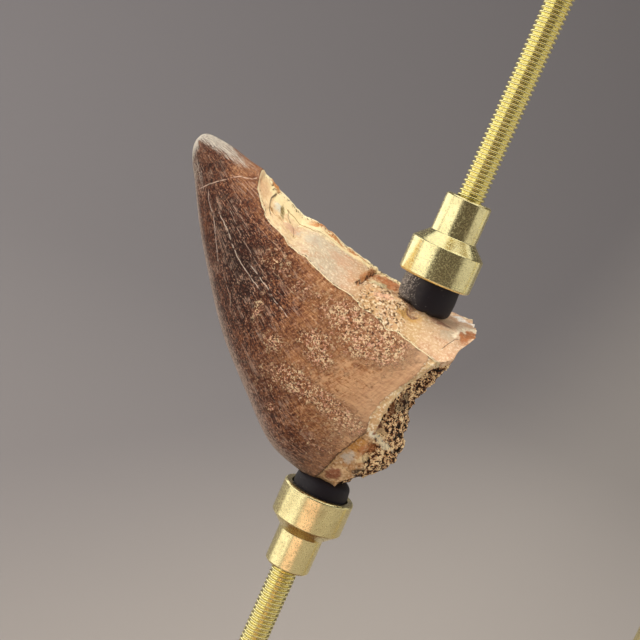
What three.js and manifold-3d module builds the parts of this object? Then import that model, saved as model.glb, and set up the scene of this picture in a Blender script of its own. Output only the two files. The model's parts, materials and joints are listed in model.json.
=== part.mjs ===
// Fossil mosasaur tooth held between two rubber pads in a small brass clamp stand.
// Millimetres, +Z up. The origin is the middle of the underside of the wooden base, and the
// broad, enamelled side of the tooth faces -Y with its tip towards -X.

import * as THREE from 'three';
import { mergeVertices } from 'three/addons/utils/BufferGeometryUtils.js';
import Module from 'manifold-3d';

const wasm = await Module();
wasm.setup();

// ---- Driving dimensions -------------------------------------------------------------------

const gap = 0.3; // between pieces that touch
const cutOver = 1; // how far a cutter stands past the face it opens
const roundSides = 32; // facets round a turned piece

// Wooden base
const baseLength = 116;
const baseWidth = 60;
const baseHeight = 14;
const baseCorner = 3; // corner radius seen from above
const baseBevel = 1.2; // chamfer along the top and bottom edges

// Threaded rods, M4
const rodDiameter = 4;
const rodHole = rodDiameter + 2 * gap;
const clampAxisX = -16; // the upper rod stands here, at y = 0
const lowerRodOffset = -2.64; // the lower rod stands a little nearer to the tip

// Heights of the two cups' open rims, which face each other
const upperRimZ = 107;
const lowerRimZ = 72.25;

// Turned brass cup
const cupDiameter = 10.8;
const cupWideLength = 5.17;
const cupConeLength = 1.67;
const cupNeckDiameter = 6.85;
const cupNeckLength = 5.65;
const cupEdge = 0.25; // chamfer on the turned edges
const cupSocketDepth = 3; // the pad's seat
const cupBoreDepth = 6; // the rod's hole in the neck
const cupLength = cupWideLength + cupConeLength + cupNeckLength;

// Rubber pads
const padDiameter = 8.2;
const padRound = 0.9; // chamfered upper edge of the lower pad
const upperPadReach = 7; // how far below the rim the uncut pad goes
const lowerPadReach = 2.4; // how far above the rim the lower pad bulges
const lowerPadSlack = 0.05; // extra room under the tooth's steep lower corner

// Column and arm
const columnX = 42;
const columnY = 18;
const columnDiameter = 8;
const columnFootDiameter = 18;
const columnFootHeight = 4;
const columnSweep = 1.5; // radius that leads from the foot into the shaft
const columnChamfer = 0.4;
const columnHoleDepth = 10; // for the arm's screw
const armUndersideZ = 156;
const armThickness = 8;
const armWidth = 9;
const armBossDiameter = 14;
const armBevel = 0.6;

// Screw that holds the arm down, and the nut on the lower rod
const armScrewShank = 4;
const armScrewHead = 8;
const armScrewHeadHeight = 3.2;
const armScrewGrip = 8; // length of thread in the column
const armScrewChamfer = 0.4;
const armScrewSlotWidth = 0.9;
const armScrewSlotDepth = 0.8;
const armScrewTurn = 0.6; // radians that the slot lies off the X axis
const nutAcrossFlats = 7;
const nutHeight = 3.2;
const nutChamfer = 0.5;
const nutChamferOver = 0.2; // how far the chamfer's cutter stands past the corners

// Knurled thumb knob
const knobDiameter = 17;
const knobHeight = 8;
const knobTeeth = 30;
const knobToothDepth = 0.45;
const knobHubDiameter = 9;
const knobHubHeight = 3;
const knobRoof = 2; // solid brass above the screw's hole
const knobClearance = 3.5; // free thread between the arm and the knob

// Tooth outline in its middle plane, (x, z) from the clamp axis and from the tooth's own zero
// height. Both lines start at the tip. The upper one is where the back edge of the whole crown
// ran, the lower one is the long convex front edge.
const toothZeroZ = 90;
const crownUpperEdge = [
  [-38.9, 22.1], [-38.25, 23.1], [-37, 23.45], [-34, 23.15], [-30, 22.15],
  [-24.5, 21.3], [-17.5, 20.2], [-9.3, 19], [-0.3, 18.1], [10.3, 17.6],
];
const crownLowerEdge = [
  [-38.9, 22.1], [-38.85, 20.7], [-38.1, 18.7], [-36.5, 15.9], [-33.8, 11],
  [-30.1, 5.3], [-24.8, -1.9], [-18.4, -8.4], [-11.2, -14.5], [-0.9, -17.1],
];
const frontFullness = 0.55; // half thickness over half width at the root end, -Y side
const backFullness = 0.66; // the same on the +Y side
const tipRoundness = 0.28; // how much rounder the section is at the tip
const tipEnd = 0.55; // share of the crown over which that fades
const edgeSharpness = 1.06; // 1 is an ellipse, more draws out the two cutting edges

// Long chipped face along the upper edge: height of its back edge at y = chipBackY, by x,
// and how fast it falls towards -Y
const chipBackY = 4.5;
const chipBackEdge = [
  [-29.5, 26], [-28, 22.3], [-26.5, 21.2], [-25, 20.5], [-20.8, 17.75], [-18, 17.7],
  [-14, 16.1], [-8.8, 14.6], [-4.4, 14.05], [4.1, 13], [8.3, 13.1],
];
const chipSlope = [[-28, 0.45], [-26, 0.5], [-20, 0.42], [-12, 0.34], [-6, 0.2], [-2, 0.1]];
const chipFrontY = -3.3; // from here the face turns down more steeply
const chipFrontSlope = [[-20, 0], [-10, 0.1], [-4, 0.65]];
const chipLeastSteep = 0.2; // flattest direction in which a point is lowered on to the chip

// Broken root end: how far along the crown the break runs, by the angle round the tooth in
// degrees (0 upper edge, 90 front, 180 lower edge, 270 back)
const rimReach = [
  [0, 1], [30, 1], [50, 0.99], [65, 0.966], [80, 0.953], [98, 0.957], [112, 0.97],
  [122, 0.978], [128, 1], [140, 1], [150, 0.988], [165, 0.995], [180, 1], [215, 0.985],
  [270, 0.97], [330, 0.99], [360, 1],
];
const rootBulge = 4.3; // the spongy root stands out most low down
const rootBulgeZ = -8.6;
const rootBulgeSpread = 6.2;
const rootCrown = 0.8; // and a little everywhere
const rootDirection = new THREE.Vector3(0.95, 0, -0.3);

const toothRows = 38; // rings from tip to rim
const toothSides = 44; // points round a ring
const rootRings = 7; // rings from the rim to the middle of the root
const loweringPasses = 12; // steps that bring a point down on to the chipped face

// ---- Materials ----------------------------------------------------------------------------

function finish(color, roughness, metalness) {
  return new THREE.MeshStandardMaterial({ color, roughness, metalness });
}

const brass = () => finish(0xc9b060, 0.3, 1);
const rubber = () => finish(0x17181b, 0.75, 0);
const walnut = () => finish(0x4a2f20, 0.5, 0);
const fossil = () => finish(0x7c5238, 0.5, 0);

// ---- Solids -------------------------------------------------------------------------------

// A three.js geometry as a solid that can be joined and cut
function solidFrom(geometry) {
  const bare = geometry.clone();
  bare.deleteAttribute('normal');
  bare.deleteAttribute('uv');
  const merged = mergeVertices(bare, 1e-4);
  const vertProperties = new Float32Array(merged.attributes.position.array);
  const triVerts = new Uint32Array(merged.index.array);
  return new wasm.Manifold(new wasm.Mesh({ numProp: 3, vertProperties, triVerts }));
}

// A cut or joined solid back as a three.js geometry
function geometryFrom(solid) {
  const mesh = solid.getMesh();
  const geometry = new THREE.BufferGeometry();
  geometry.setAttribute('position', new THREE.BufferAttribute(mesh.vertProperties, 3));
  geometry.setIndex(new THREE.BufferAttribute(mesh.triVerts, 1));
  geometry.computeVertexNormals();
  return geometry;
}

// A turned piece: [radius, height] points from the bottom of the axis round to its top
function turned(profile, sides = roundSides) {
  const points = profile.map(([radius, height]) => new THREE.Vector2(radius, height));
  return new THREE.LatheGeometry(points, sides).rotateX(Math.PI / 2);
}

// A plain round bar along Z, standing on z = bottom, moved to (x, y)
function bar(diameter, bottom, top, x = 0, y = 0, sides = roundSides) {
  const height = top - bottom;
  return new THREE.CylinderGeometry(diameter / 2, diameter / 2, height, sides)
    .rotateX(Math.PI / 2)
    .translate(x, y, bottom + height / 2);
}

function piece(name, geometry, material) {
  const mesh = new THREE.Mesh(geometry, material);
  mesh.name = name;
  return mesh;
}

// Straight-line reading of a list of [position, value] points, held flat past its ends
function readOff(points, position) {
  if (position <= points[0][0]) return points[0][1];
  for (let i = 1; i < points.length; i += 1) {
    const [end, endValue] = points[i];
    const [start, startValue] = points[i - 1];
    if (position <= end) {
      return THREE.MathUtils.mapLinear(position, start, end, startValue, endValue);
    }
  }
  return points[points.length - 1][1];
}

// ---- Tooth --------------------------------------------------------------------------------

const upperEdgeCurve = new THREE.SplineCurve(crownUpperEdge.map((p) => new THREE.Vector2(...p)));
const lowerEdgeCurve = new THREE.SplineCurve(crownLowerEdge.map((p) => new THREE.Vector2(...p)));

// Height of the chipped face above the tooth's zero height
function chippedFaceHeight(x, y) {
  const backEdge = readOff(chipBackEdge, x);
  const gentle = readOff(chipSlope, x) * (chipBackY - y);
  const steep = readOff(chipFrontSlope, x) * Math.max(chipFrontY - y, 0);
  return backEdge - gentle - steep;
}

// A point of the crown: along runs from 0 at the tip to 1 at the root, angle goes round it
// from the upper edge over the front. What would stand above the chip is lowered on to it.
function crownPoint(along, angle) {
  const upper = upperEdgeCurve.getPoint(along);
  const lower = lowerEdgeCurve.getPoint(along);
  const centre = upper.clone().add(lower).multiplyScalar(0.5);
  const reach = upper.clone().sub(lower).multiplyScalar(0.5);
  const halfWidth = reach.length();
  const sine = Math.sin(angle);
  const tipness = 1 - THREE.MathUtils.smoothstep(along, 0, tipEnd);
  const fullness = (sine > 0 ? frontFullness : backFullness) + tipRoundness * tipness;
  const x = centre.x + reach.x * Math.cos(angle);
  const z = centre.y + reach.y * Math.cos(angle);
  const y = -fullness * halfWidth * Math.sign(sine) * Math.abs(sine) ** edgeSharpness;
  const point = new THREE.Vector3(x, y, z);
  if (along === 0) return point;
  const chord = reach.divideScalar(halfWidth);
  if (point.z > chippedFaceHeight(point.x, point.y)) {
    for (let pass = 0; pass < loweringPasses; pass += 1) {
      const above = point.z - chippedFaceHeight(point.x, point.y);
      const drop = above / Math.max(chord.y, chipLeastSteep);
      point.x -= drop * chord.x;
      point.z -= drop * chord.y;
    }
  }
  return point;
}

// The root end: from a rim point towards the middle, standing out as a spongy swelling
function rootPoint(rimPoint, middle, inwards) {
  const point = rimPoint.clone().lerp(middle, inwards);
  const low = (point.z - rootBulgeZ) / rootBulgeSpread;
  const height = rootBulge * Math.exp(-low * low) + rootCrown;
  return point.addScaledVector(rootDirection, height * (1 - (1 - inwards) ** 3));
}

function toothGeometry() {
  const rings = [];
  for (let row = 1; row <= toothRows; row += 1) {
    const ring = [];
    for (let side = 0; side < toothSides; side += 1) {
      const turn = side / toothSides;
      // square root: even steps along the crown, whose outline points crowd at the tip
      const along = Math.sqrt(row / toothRows) * readOff(rimReach, turn * 360);
      ring.push(crownPoint(along, turn * 2 * Math.PI));
    }
    rings.push(ring);
  }
  const rim = rings[rings.length - 1];
  const middle = rim.reduce((sum, p) => sum.add(p), new THREE.Vector3()).divideScalar(rim.length);
  for (let ring = 1; ring < rootRings; ring += 1) {
    rings.push(rim.map((p) => rootPoint(p, middle, ring / rootRings)));
  }
  const tip = crownPoint(0, 0);
  const rootMiddle = rootPoint(middle, middle, 1);
  return skinOver(tip, rings, rootMiddle);
}

// One closed skin over a stack of rings, with a point at either end
function skinOver(first, rings, last) {
  const sides = rings[0].length;
  const points = [first, ...rings.flat(), last];
  const index = [];
  const at = (ring, side) => 1 + ring * sides + (side % sides);
  for (let side = 0; side < sides; side += 1) {
    index.push(0, at(0, side + 1), at(0, side));
    for (let ring = 0; ring < rings.length - 1; ring += 1) {
      index.push(at(ring, side), at(ring + 1, side + 1), at(ring + 1, side));
      index.push(at(ring, side), at(ring, side + 1), at(ring + 1, side + 1));
    }
    index.push(points.length - 1, at(rings.length - 1, side), at(rings.length - 1, side + 1));
  }
  const geometry = new THREE.BufferGeometry().setFromPoints(points);
  geometry.setIndex(index);
  geometry.computeVertexNormals();
  return geometry;
}

// ---- Clamp --------------------------------------------------------------------------------

// A cup standing on its rim at z = 0 with the neck up. The pad's socket opens at the rim, the
// rod's hole opens at the end of the neck.
function cupGeometry() {
  const wide = cupDiameter / 2;
  const neck = cupNeckDiameter / 2;
  const socket = padDiameter / 2 + gap;
  const shoulder = cupWideLength + cupConeLength;
  return turned([
    [0, cupSocketDepth],
    [socket, cupSocketDepth],
    [socket, 0],
    [wide - cupEdge, 0],
    [wide, cupEdge],
    [wide, cupWideLength - cupEdge],
    [wide - cupEdge, cupWideLength],
    [neck, shoulder],
    [neck, cupLength - cupEdge],
    [neck - cupEdge, cupLength],
    [rodHole / 2, cupLength],
    [rodHole / 2, cupLength - cupBoreDepth],
    [0, cupLength - cupBoreDepth],
  ]);
}

// The upper pad, cut where the tooth comes into it and set free from it by the gap
function upperPadGeometry(tooth) {
  const radius = padDiameter / 2;
  const bottom = upperRimZ - upperPadReach;
  const top = upperRimZ + cupSocketDepth - gap;
  const plug = turned([[0, bottom], [radius, bottom], [radius, top], [0, top]]);
  return geometryFrom(solidFrom(plug).subtract(tooth.translate(-clampAxisX, 0, gap)));
}

// The lower pad: squeezed by the tooth's lower corner and bulging up beside it
function lowerPadGeometry(tooth) {
  const radius = padDiameter / 2;
  const bottom = lowerRimZ - cupSocketDepth + gap;
  const top = lowerRimZ + lowerPadReach;
  const plug = turned([
    [0, bottom], [radius, bottom], [radius, top - padRound], [radius - padRound, top], [0, top],
  ]);
  const toothBelow = tooth.translate(-clampAxisX - lowerRodOffset, 0, -gap - lowerPadSlack);
  return geometryFrom(solidFrom(plug).subtract(toothBelow));
}

function knobGeometry() {
  const outline = new THREE.Shape();
  const steps = knobTeeth * 2;
  for (let step = 0; step < steps; step += 1) {
    const radius = knobDiameter / 2 - (step % 2) * knobToothDepth;
    const angle = (step / steps) * 2 * Math.PI;
    const x = radius * Math.cos(angle);
    const y = radius * Math.sin(angle);
    if (step === 0) outline.moveTo(x, y);
    else outline.lineTo(x, y);
  }
  outline.closePath();
  const grip = new THREE.ExtrudeGeometry(outline, {
    depth: knobHeight - 2 * armBevel,
    bevelThickness: armBevel,
    bevelSize: armBevel,
    bevelOffset: -armBevel,
    bevelSegments: 1,
    steps: 1,
  }).translate(0, 0, knobHubHeight + armBevel);
  const hub = bar(knobHubDiameter, 0, knobHubHeight + armBevel);
  const bore = bar(rodHole, -cutOver, knobHubHeight + knobHeight - knobRoof);
  return geometryFrom(solidFrom(grip).add(solidFrom(hub)).subtract(solidFrom(bore)));
}

// ---- Stand --------------------------------------------------------------------------------

function baseGeometry() {
  const x = baseLength / 2 - baseBevel;
  const y = baseWidth / 2 - baseBevel;
  const r = baseCorner - baseBevel;
  const outline = new THREE.Shape();
  outline.absarc(x - r, y - r, r, 0, Math.PI / 2);
  outline.absarc(-x + r, y - r, r, Math.PI / 2, Math.PI);
  outline.absarc(-x + r, -y + r, r, Math.PI, 1.5 * Math.PI);
  outline.absarc(x - r, -y + r, r, 1.5 * Math.PI, 2 * Math.PI);
  const block = new THREE.ExtrudeGeometry(outline, {
    depth: baseHeight - 2 * baseBevel,
    bevelThickness: baseBevel,
    bevelSize: baseBevel,
    bevelSegments: 1,
    curveSegments: 5,
  }).translate(0, 0, baseBevel);
  const rodX = clampAxisX + lowerRodOffset;
  const rodBore = bar(rodHole, baseHeight / 2, baseHeight + cutOver, rodX, 0);
  return geometryFrom(solidFrom(block).subtract(solidFrom(rodBore)));
}

// Column with a turned foot, and a hole in its top for the arm's screw
function columnGeometry() {
  const radius = columnDiameter / 2;
  const foot = columnFootDiameter / 2;
  const bottom = baseHeight + gap;
  const top = armUndersideZ - gap;
  const hole = armScrewShank / 2 + gap;
  return turned([
    [0, bottom],
    [foot, bottom],
    [foot, bottom + columnFootHeight * 0.5],
    [foot * 0.9, bottom + columnFootHeight * 0.75],
    [radius + columnSweep, bottom + columnFootHeight],
    [radius, bottom + columnFootHeight + columnSweep],
    [radius, top - columnChamfer],
    [radius - columnChamfer, top],
    [hole, top],
    [hole, top - columnHoleDepth],
    [0, top - columnHoleDepth],
  ]);
}

// Flat arm with a round boss at either end, bored for the clamp screw and for its own screw
function armGeometry() {
  const reachX = clampAxisX - columnX;
  const reachY = -columnY;
  const length = Math.hypot(reachX, reachY);
  const boss = armBossDiameter / 2 - armBevel;
  const half = armWidth / 2 - armBevel;
  const flank = Math.asin(half / boss);
  const outline = new THREE.Shape();
  outline.absarc(0, 0, boss, flank, 2 * Math.PI - flank);
  outline.absarc(length, 0, boss, Math.PI + flank, 3 * Math.PI - flank);
  outline.closePath();
  const blank = new THREE.ExtrudeGeometry(outline, {
    depth: armThickness - 2 * armBevel,
    bevelThickness: armBevel,
    bevelSize: armBevel,
    bevelSegments: 1,
    curveSegments: 14,
  }).translate(0, 0, armBevel);
  const ownBore = bar(armScrewShank + 2 * gap, -cutOver, armThickness + cutOver);
  const screwBore = bar(rodHole, -cutOver, armThickness + cutOver, length, 0);
  return geometryFrom(solidFrom(blank).subtract(solidFrom(ownBore)).subtract(solidFrom(screwBore)))
    .rotateZ(Math.atan2(reachY, reachX))
    .translate(columnX, columnY, armUndersideZ);
}

// Pan-head screw standing on z = 0, with its shank below and a slot across its head
function armScrewGeometry() {
  const head = armScrewHead / 2;
  const shank = armScrewShank / 2;
  const end = -armThickness - armScrewGrip;
  const screw = turned([
    [0, end],
    [shank - armScrewChamfer, end],
    [shank, end + armScrewChamfer],
    [shank, 0],
    [head, 0],
    [head, armScrewHeadHeight * 0.4],
    [head * 0.9, armScrewHeadHeight * 0.72],
    [head * 0.6, armScrewHeadHeight * 0.94],
    [0, armScrewHeadHeight],
  ]);
  const slotLength = armScrewHead + 2 * cutOver;
  const slot = new THREE.BoxGeometry(slotLength, armScrewSlotWidth, 2 * armScrewSlotDepth);
  slot.translate(0, 0, armScrewHeadHeight);
  return geometryFrom(solidFrom(screw).subtract(solidFrom(slot)));
}

function nutGeometry() {
  const corner = nutAcrossFlats / Math.sqrt(3);
  const outline = new THREE.Shape();
  for (let side = 0; side < 6; side += 1) {
    const angle = (side / 6) * 2 * Math.PI;
    if (side === 0) outline.moveTo(corner, 0);
    else outline.lineTo(corner * Math.cos(angle), corner * Math.sin(angle));
  }
  outline.closePath();
  const blank = new THREE.ExtrudeGeometry(outline, { depth: nutHeight, bevelEnabled: false });
  const bore = bar(rodHole, -cutOver, nutHeight + cutOver);
  // the corners are turned off on both faces
  const flat = nutAcrossFlats / 2;
  const outside = corner + nutChamferOver;
  const turning = turned([
    [0, 0],
    [flat, 0],
    [outside, nutChamfer],
    [outside, nutHeight - nutChamfer],
    [flat, nutHeight],
    [0, nutHeight],
  ]);
  return geometryFrom(
    solidFrom(blank).intersect(solidFrom(turning)).subtract(solidFrom(bore)),
  );
}

// ---- Assembly -----------------------------------------------------------------------------

const toothShape = toothGeometry();
const toothSolid = solidFrom(toothShape).translate(clampAxisX, 0, toothZeroZ);

const upperCupTop = upperRimZ + cupLength;
const lowerCupBottom = lowerRimZ - cupLength;
const knobZ = armUndersideZ + armThickness + knobClearance;
const lowerAxisX = clampAxisX + lowerRodOffset;

const stand = new THREE.Group();

const tooth = piece('tooth', toothShape, fossil());
tooth.position.set(clampAxisX, 0, toothZeroZ);

const clamp = new THREE.Group();
clamp.position.set(clampAxisX, 0, 0);
const upperCup = piece('upper_cup', cupGeometry(), brass());
upperCup.position.z = upperRimZ;
const screwBottom = upperCupTop - cupBoreDepth + gap;
const screwTop = knobZ + knobHubHeight + knobHeight - knobRoof - gap;
const knob = piece('thumb_knob', knobGeometry(), brass());
knob.position.z = knobZ;
clamp.add(
  piece('upper_pad', upperPadGeometry(toothSolid), rubber()),
  upperCup,
  piece('clamp_screw', bar(rodDiameter, screwBottom, screwTop), brass()),
  knob,
);

const support = new THREE.Group();
support.position.set(lowerAxisX, 0, 0);
const lowerCup = piece('lower_cup', cupGeometry(), brass());
lowerCup.position.z = lowerRimZ;
lowerCup.rotation.x = Math.PI;
const baseNut = piece('base_nut', nutGeometry(), brass());
baseNut.position.z = baseHeight + gap;
const rodBottom = baseHeight / 2 + gap;
const rodTop = lowerCupBottom + cupBoreDepth - gap;
support.add(
  piece('lower_pad', lowerPadGeometry(toothSolid), rubber()),
  lowerCup,
  piece('lower_rod', bar(rodDiameter, rodBottom, rodTop), brass()),
  baseNut,
);

const column = piece('column', columnGeometry(), brass());
column.position.set(columnX, columnY, 0);
const armScrew = piece('arm_screw', armScrewGeometry(), brass());
armScrew.position.set(columnX, columnY, armUndersideZ + armThickness + gap);
armScrew.rotation.z = armScrewTurn;

stand.add(
  tooth,
  clamp,
  support,
  piece('base', baseGeometry(), walnut()),
  column,
  piece('arm', armGeometry(), brass()),
  armScrew,
);

export default stand;
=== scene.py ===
import itertools
import json
import math

import bpy
import numpy as np
from mathutils import Matrix, Vector
from mathutils.bvhtree import BVHTree


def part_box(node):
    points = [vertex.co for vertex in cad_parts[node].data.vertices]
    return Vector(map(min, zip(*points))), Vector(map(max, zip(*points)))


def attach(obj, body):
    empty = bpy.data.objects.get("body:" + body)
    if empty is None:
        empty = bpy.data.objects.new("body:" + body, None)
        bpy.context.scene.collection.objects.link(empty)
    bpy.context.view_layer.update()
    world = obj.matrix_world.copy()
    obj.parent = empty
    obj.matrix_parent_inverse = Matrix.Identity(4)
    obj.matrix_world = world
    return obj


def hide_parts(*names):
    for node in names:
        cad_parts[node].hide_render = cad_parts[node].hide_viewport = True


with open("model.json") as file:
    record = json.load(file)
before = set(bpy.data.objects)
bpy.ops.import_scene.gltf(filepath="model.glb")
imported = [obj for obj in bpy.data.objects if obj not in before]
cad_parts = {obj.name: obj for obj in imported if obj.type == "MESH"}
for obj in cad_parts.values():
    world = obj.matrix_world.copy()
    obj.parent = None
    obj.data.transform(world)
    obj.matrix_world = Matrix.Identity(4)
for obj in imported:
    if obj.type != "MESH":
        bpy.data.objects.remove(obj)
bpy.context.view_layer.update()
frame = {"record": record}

mm = 0.001  # lengths below are in millimetres and become metres when a mesh is made
bodyOf = {node: body for body, nodes in frame["record"]["behaviour"]["bodies"].items() for node in nodes}


def boxOf(node):  # the CAD box's low corner, high corner and middle
    low, high = (np.array(corner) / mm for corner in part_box(node))
    return low, high, (low + high) / 2


def paint(code):
    channels = [int(code[i:i + 2], 16) / 255 for i in (0, 2, 4)]
    return tuple(c / 12.92 if c < 0.04045 else ((c + 0.055) / 1.055) ** 2.4 for c in channels) + (1.0,)


# Node helpers: a value may be a plain value or another node's socket

def wire(tree, sockets, values):
    for key, value in values.items():
        if isinstance(value, bpy.types.NodeSocket):
            tree.links.new(value, sockets[key])
        else:
            sockets[key].default_value = value


def addNode(tree, kind, values=None, **settings):
    made = tree.nodes.new(kind)
    for name, value in settings.items():
        setattr(made, name, value)
    wire(tree, made.inputs, values or {})
    return made


def calc(tree, operation, *values):
    return addNode(tree, "ShaderNodeMath", dict(enumerate(values)), operation=operation).outputs[0]


def plus(tree, first, second):
    return calc(tree, "ADD", first, second)


def minus(tree, first, second):
    return calc(tree, "SUBTRACT", first, second)


def times(tree, first, *others):
    for other in others:
        first = calc(tree, "MULTIPLY", first, other)
    return first


def scaleAdd(tree, value, factor, extra):  # value times factor, plus extra
    return calc(tree, "MULTIPLY_ADD", value, factor, extra)


def nudged(tree, value, pattern, amount):  # a value moved either way by a pattern that runs from 0 to 1
    return scaleAdd(tree, minus(tree, pattern, 0.5), amount, value)


def between(tree, value, low, high):  # 0 at low, 1 at high, smooth in between
    values = {"Value": value, "From Min": low, "From Max": high}
    return addNode(tree, "ShaderNodeMapRange", values, interpolation_type="SMOOTHSTEP").outputs[0]


def mixColors(tree, amount, first, second):
    values = {0: amount, 6: first, 7: second}
    return addNode(tree, "ShaderNodeMix", values, data_type="RGBA").outputs[2]


def noiseOf(tree, place, scale, detail=3.0, roughness=0.55, warp=0.0):
    values = {"Vector": place, "Scale": scale, "Detail": detail, "Roughness": roughness, "Distortion": warp}
    return addNode(tree, "ShaderNodeTexNoise", values).outputs[0]


def cellsOf(tree, place, scale):  # each uneven cell's own random value, 0 to 1
    made = addNode(tree, "ShaderNodeTexVoronoi", {"Vector": place, "Scale": scale})
    return addNode(tree, "ShaderNodeSeparateColor", {"Color": made.outputs["Color"]}).outputs["Red"]


def shakenOf(tree, place, scale, amount):
    noise = addNode(tree, "ShaderNodeTexNoise", {"Vector": place, "Scale": scale, "Detail": 1.0})
    values = {0: noise.outputs["Color"], 1: (amount, amount, amount), 2: place}
    return addNode(tree, "ShaderNodeVectorMath", values, operation="MULTIPLY_ADD").outputs[0]


def rampOf(tree, value, stops):
    made = addNode(tree, "ShaderNodeValToRGB", {"Fac": value})
    elements = made.color_ramp.elements
    while len(elements) < len(stops):
        elements.new(0.5)
    for element, (position, code) in zip(elements, stops):
        element.position = position
    for element, (position, code) in zip(elements, stops):
        element.color = paint(code)
    return made.outputs["Color"]


def bumpOf(tree, height, strength, distance):
    values = {"Height": height, "Strength": strength, "Distance": distance * mm}
    return addNode(tree, "ShaderNodeBump", values).outputs[0]


def stretched(tree, place, scale, rotation=(0, 0, 0), location=(0, 0, 0)):
    values = {"Vector": place, "Scale": scale, "Rotation": rotation, "Location": location}
    return addNode(tree, "ShaderNodeMapping", values).outputs[0]


def millimetres(tree, centre=(0, 0, 0)):  # the piece's own coordinates in millimetres from a centre
    place = addNode(tree, "ShaderNodeTexCoord").outputs["Object"]
    return stretched(tree, place, (1 / mm,) * 3, location=[-c for c in centre])


def axesOf(tree, place):
    return addNode(tree, "ShaderNodeSeparateXYZ", {"Vector": place}).outputs


def joinAxes(tree, x, y, z):
    return addNode(tree, "ShaderNodeCombineXYZ", {"X": x, "Y": y, "Z": z}).outputs[0]


def attributeOf(tree, name, output="Fac"):
    return addNode(tree, "ShaderNodeAttribute", attribute_name=name).outputs[output]


def newMaterial(name):
    made = bpy.data.materials.new(name)
    made.use_nodes = True
    tree = made.node_tree
    return made, tree, tree.nodes["Principled BSDF"]


def newGroup(name, inputs, outputs, treeKind="ShaderNodeTree"):
    tree = bpy.data.node_groups.new(name, treeKind)
    for label, kind, value in inputs:
        socket = tree.interface.new_socket(name=label, in_out="INPUT", socket_type="NodeSocket" + kind)
        if value is not None:
            socket.default_value = value
    for label, kind in outputs:
        tree.interface.new_socket(name=label, in_out="OUTPUT", socket_type="NodeSocket" + kind)
    return tree, addNode(tree, "NodeGroupInput").outputs, addNode(tree, "NodeGroupOutput").inputs


def useGroup(tree, group, values):
    return addNode(tree, "ShaderNodeGroup", values, node_tree=group).outputs


# Shader groups that several finishes share

def makeTurningMarks():  # fine rings round a turned piece, with a coarser uneven band now and then
    tree, inputs, outputs = newGroup(
        "turningMarks",
        [("Place", "Vector", (0, 0, 0)), ("Fineness", "Float", 9.0), ("Chatter", "Float", 0.3)],
        [("Height", "Float"), ("Unevenness", "Float")],
    )
    along = stretched(tree, inputs["Place"], (0.06, 0.06, 1.0))
    rings = noiseOf(tree, along, inputs["Fineness"], 4.0, 0.7)
    bands = noiseOf(tree, along, 1.6, 1.0)
    height = plus(tree, rings, times(tree, bands, inputs["Chatter"]))
    wire(tree, outputs, {"Height": height, "Unevenness": bands})
    return tree


def makeTarnish():  # brass that has gone a little brown and dull in soft patches and specks
    tree, inputs, outputs = newGroup(
        "tarnish",
        [("Place", "Vector", (0, 0, 0)), ("Bright", "Color", paint("f1e2a4")),
         ("Dull", "Color", paint("b38a4c")), ("Amount", "Float", 0.3)],
        [("Color", "Color"), ("Dullness", "Float")],
    )
    patches = noiseOf(tree, inputs["Place"], 0.35, 4.0, 0.65, 0.4)
    specks = between(tree, noiseOf(tree, inputs["Place"], 5.0, 2.0), 0.66, 0.74)
    soft = times(tree, between(tree, patches, 0.42, 0.72), inputs["Amount"])
    dullness = calc(tree, "MAXIMUM", soft, times(tree, specks, inputs["Amount"]))
    color = mixColors(tree, dullness, inputs["Bright"], inputs["Dull"])
    wire(tree, outputs, {"Color": color, "Dullness": dullness})
    return tree


def makeDust():  # pale dust specks, with more of them where Cover is high
    tree, inputs, outputs = newGroup(
        "dust",
        [("Place", "Vector", (0, 0, 0)), ("Base", "Color", paint("1c1a1d")),
         ("Dust", "Color", paint("9a9088")), ("Cover", "Float", 0.2)],
        [("Color", "Color"), ("Mask", "Float")],
    )
    fine = noiseOf(tree, inputs["Place"], 5.0, 2.0, 0.7)
    cut = minus(tree, 0.76, times(tree, inputs["Cover"], 0.24))
    mask = between(tree, fine, cut, plus(tree, cut, 0.06))
    wire(tree, outputs, {"Color": mixColors(tree, mask, inputs["Base"], inputs["Dust"]), "Mask": mask})
    return tree


def makeHairline():  # a thin crack where a signed distance passes through zero
    tree, inputs, outputs = newGroup(
        "hairline",
        [("Distance", "Float", 1.0), ("Place", "Vector", (0, 0, 0)), ("Width", "Float", 0.1),
         ("Wander", "Float", 0.12), ("Breaks", "Float", 0.35)],
        [("Mask", "Float")],
    )
    sway = minus(tree, noiseOf(tree, inputs["Place"], 1.3, 3.0), 0.5)
    moved = plus(tree, inputs["Distance"], times(tree, sway, inputs["Wander"]))
    line = between(tree, calc(tree, "ABSOLUTE", moved), inputs["Width"], 0.0)
    broken = minus(tree, inputs["Breaks"], 0.1)
    kept = between(tree, noiseOf(tree, inputs["Place"], 1.1, 2.0), broken, plus(tree, broken, 0.2))
    wire(tree, outputs, {"Mask": times(tree, line, kept)})
    return tree


turningMarks = makeTurningMarks()
tarnish = makeTarnish()
dust = makeDust()
hairline = makeHairline()

# Brass, rubber and walnut

brassFinish = {
    "bright": "faeeb2",
    "rolled": "fff4b0",
    "dull": "a98450",
    "fineness": 7.0,
    "grain": 0.5,
}


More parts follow.
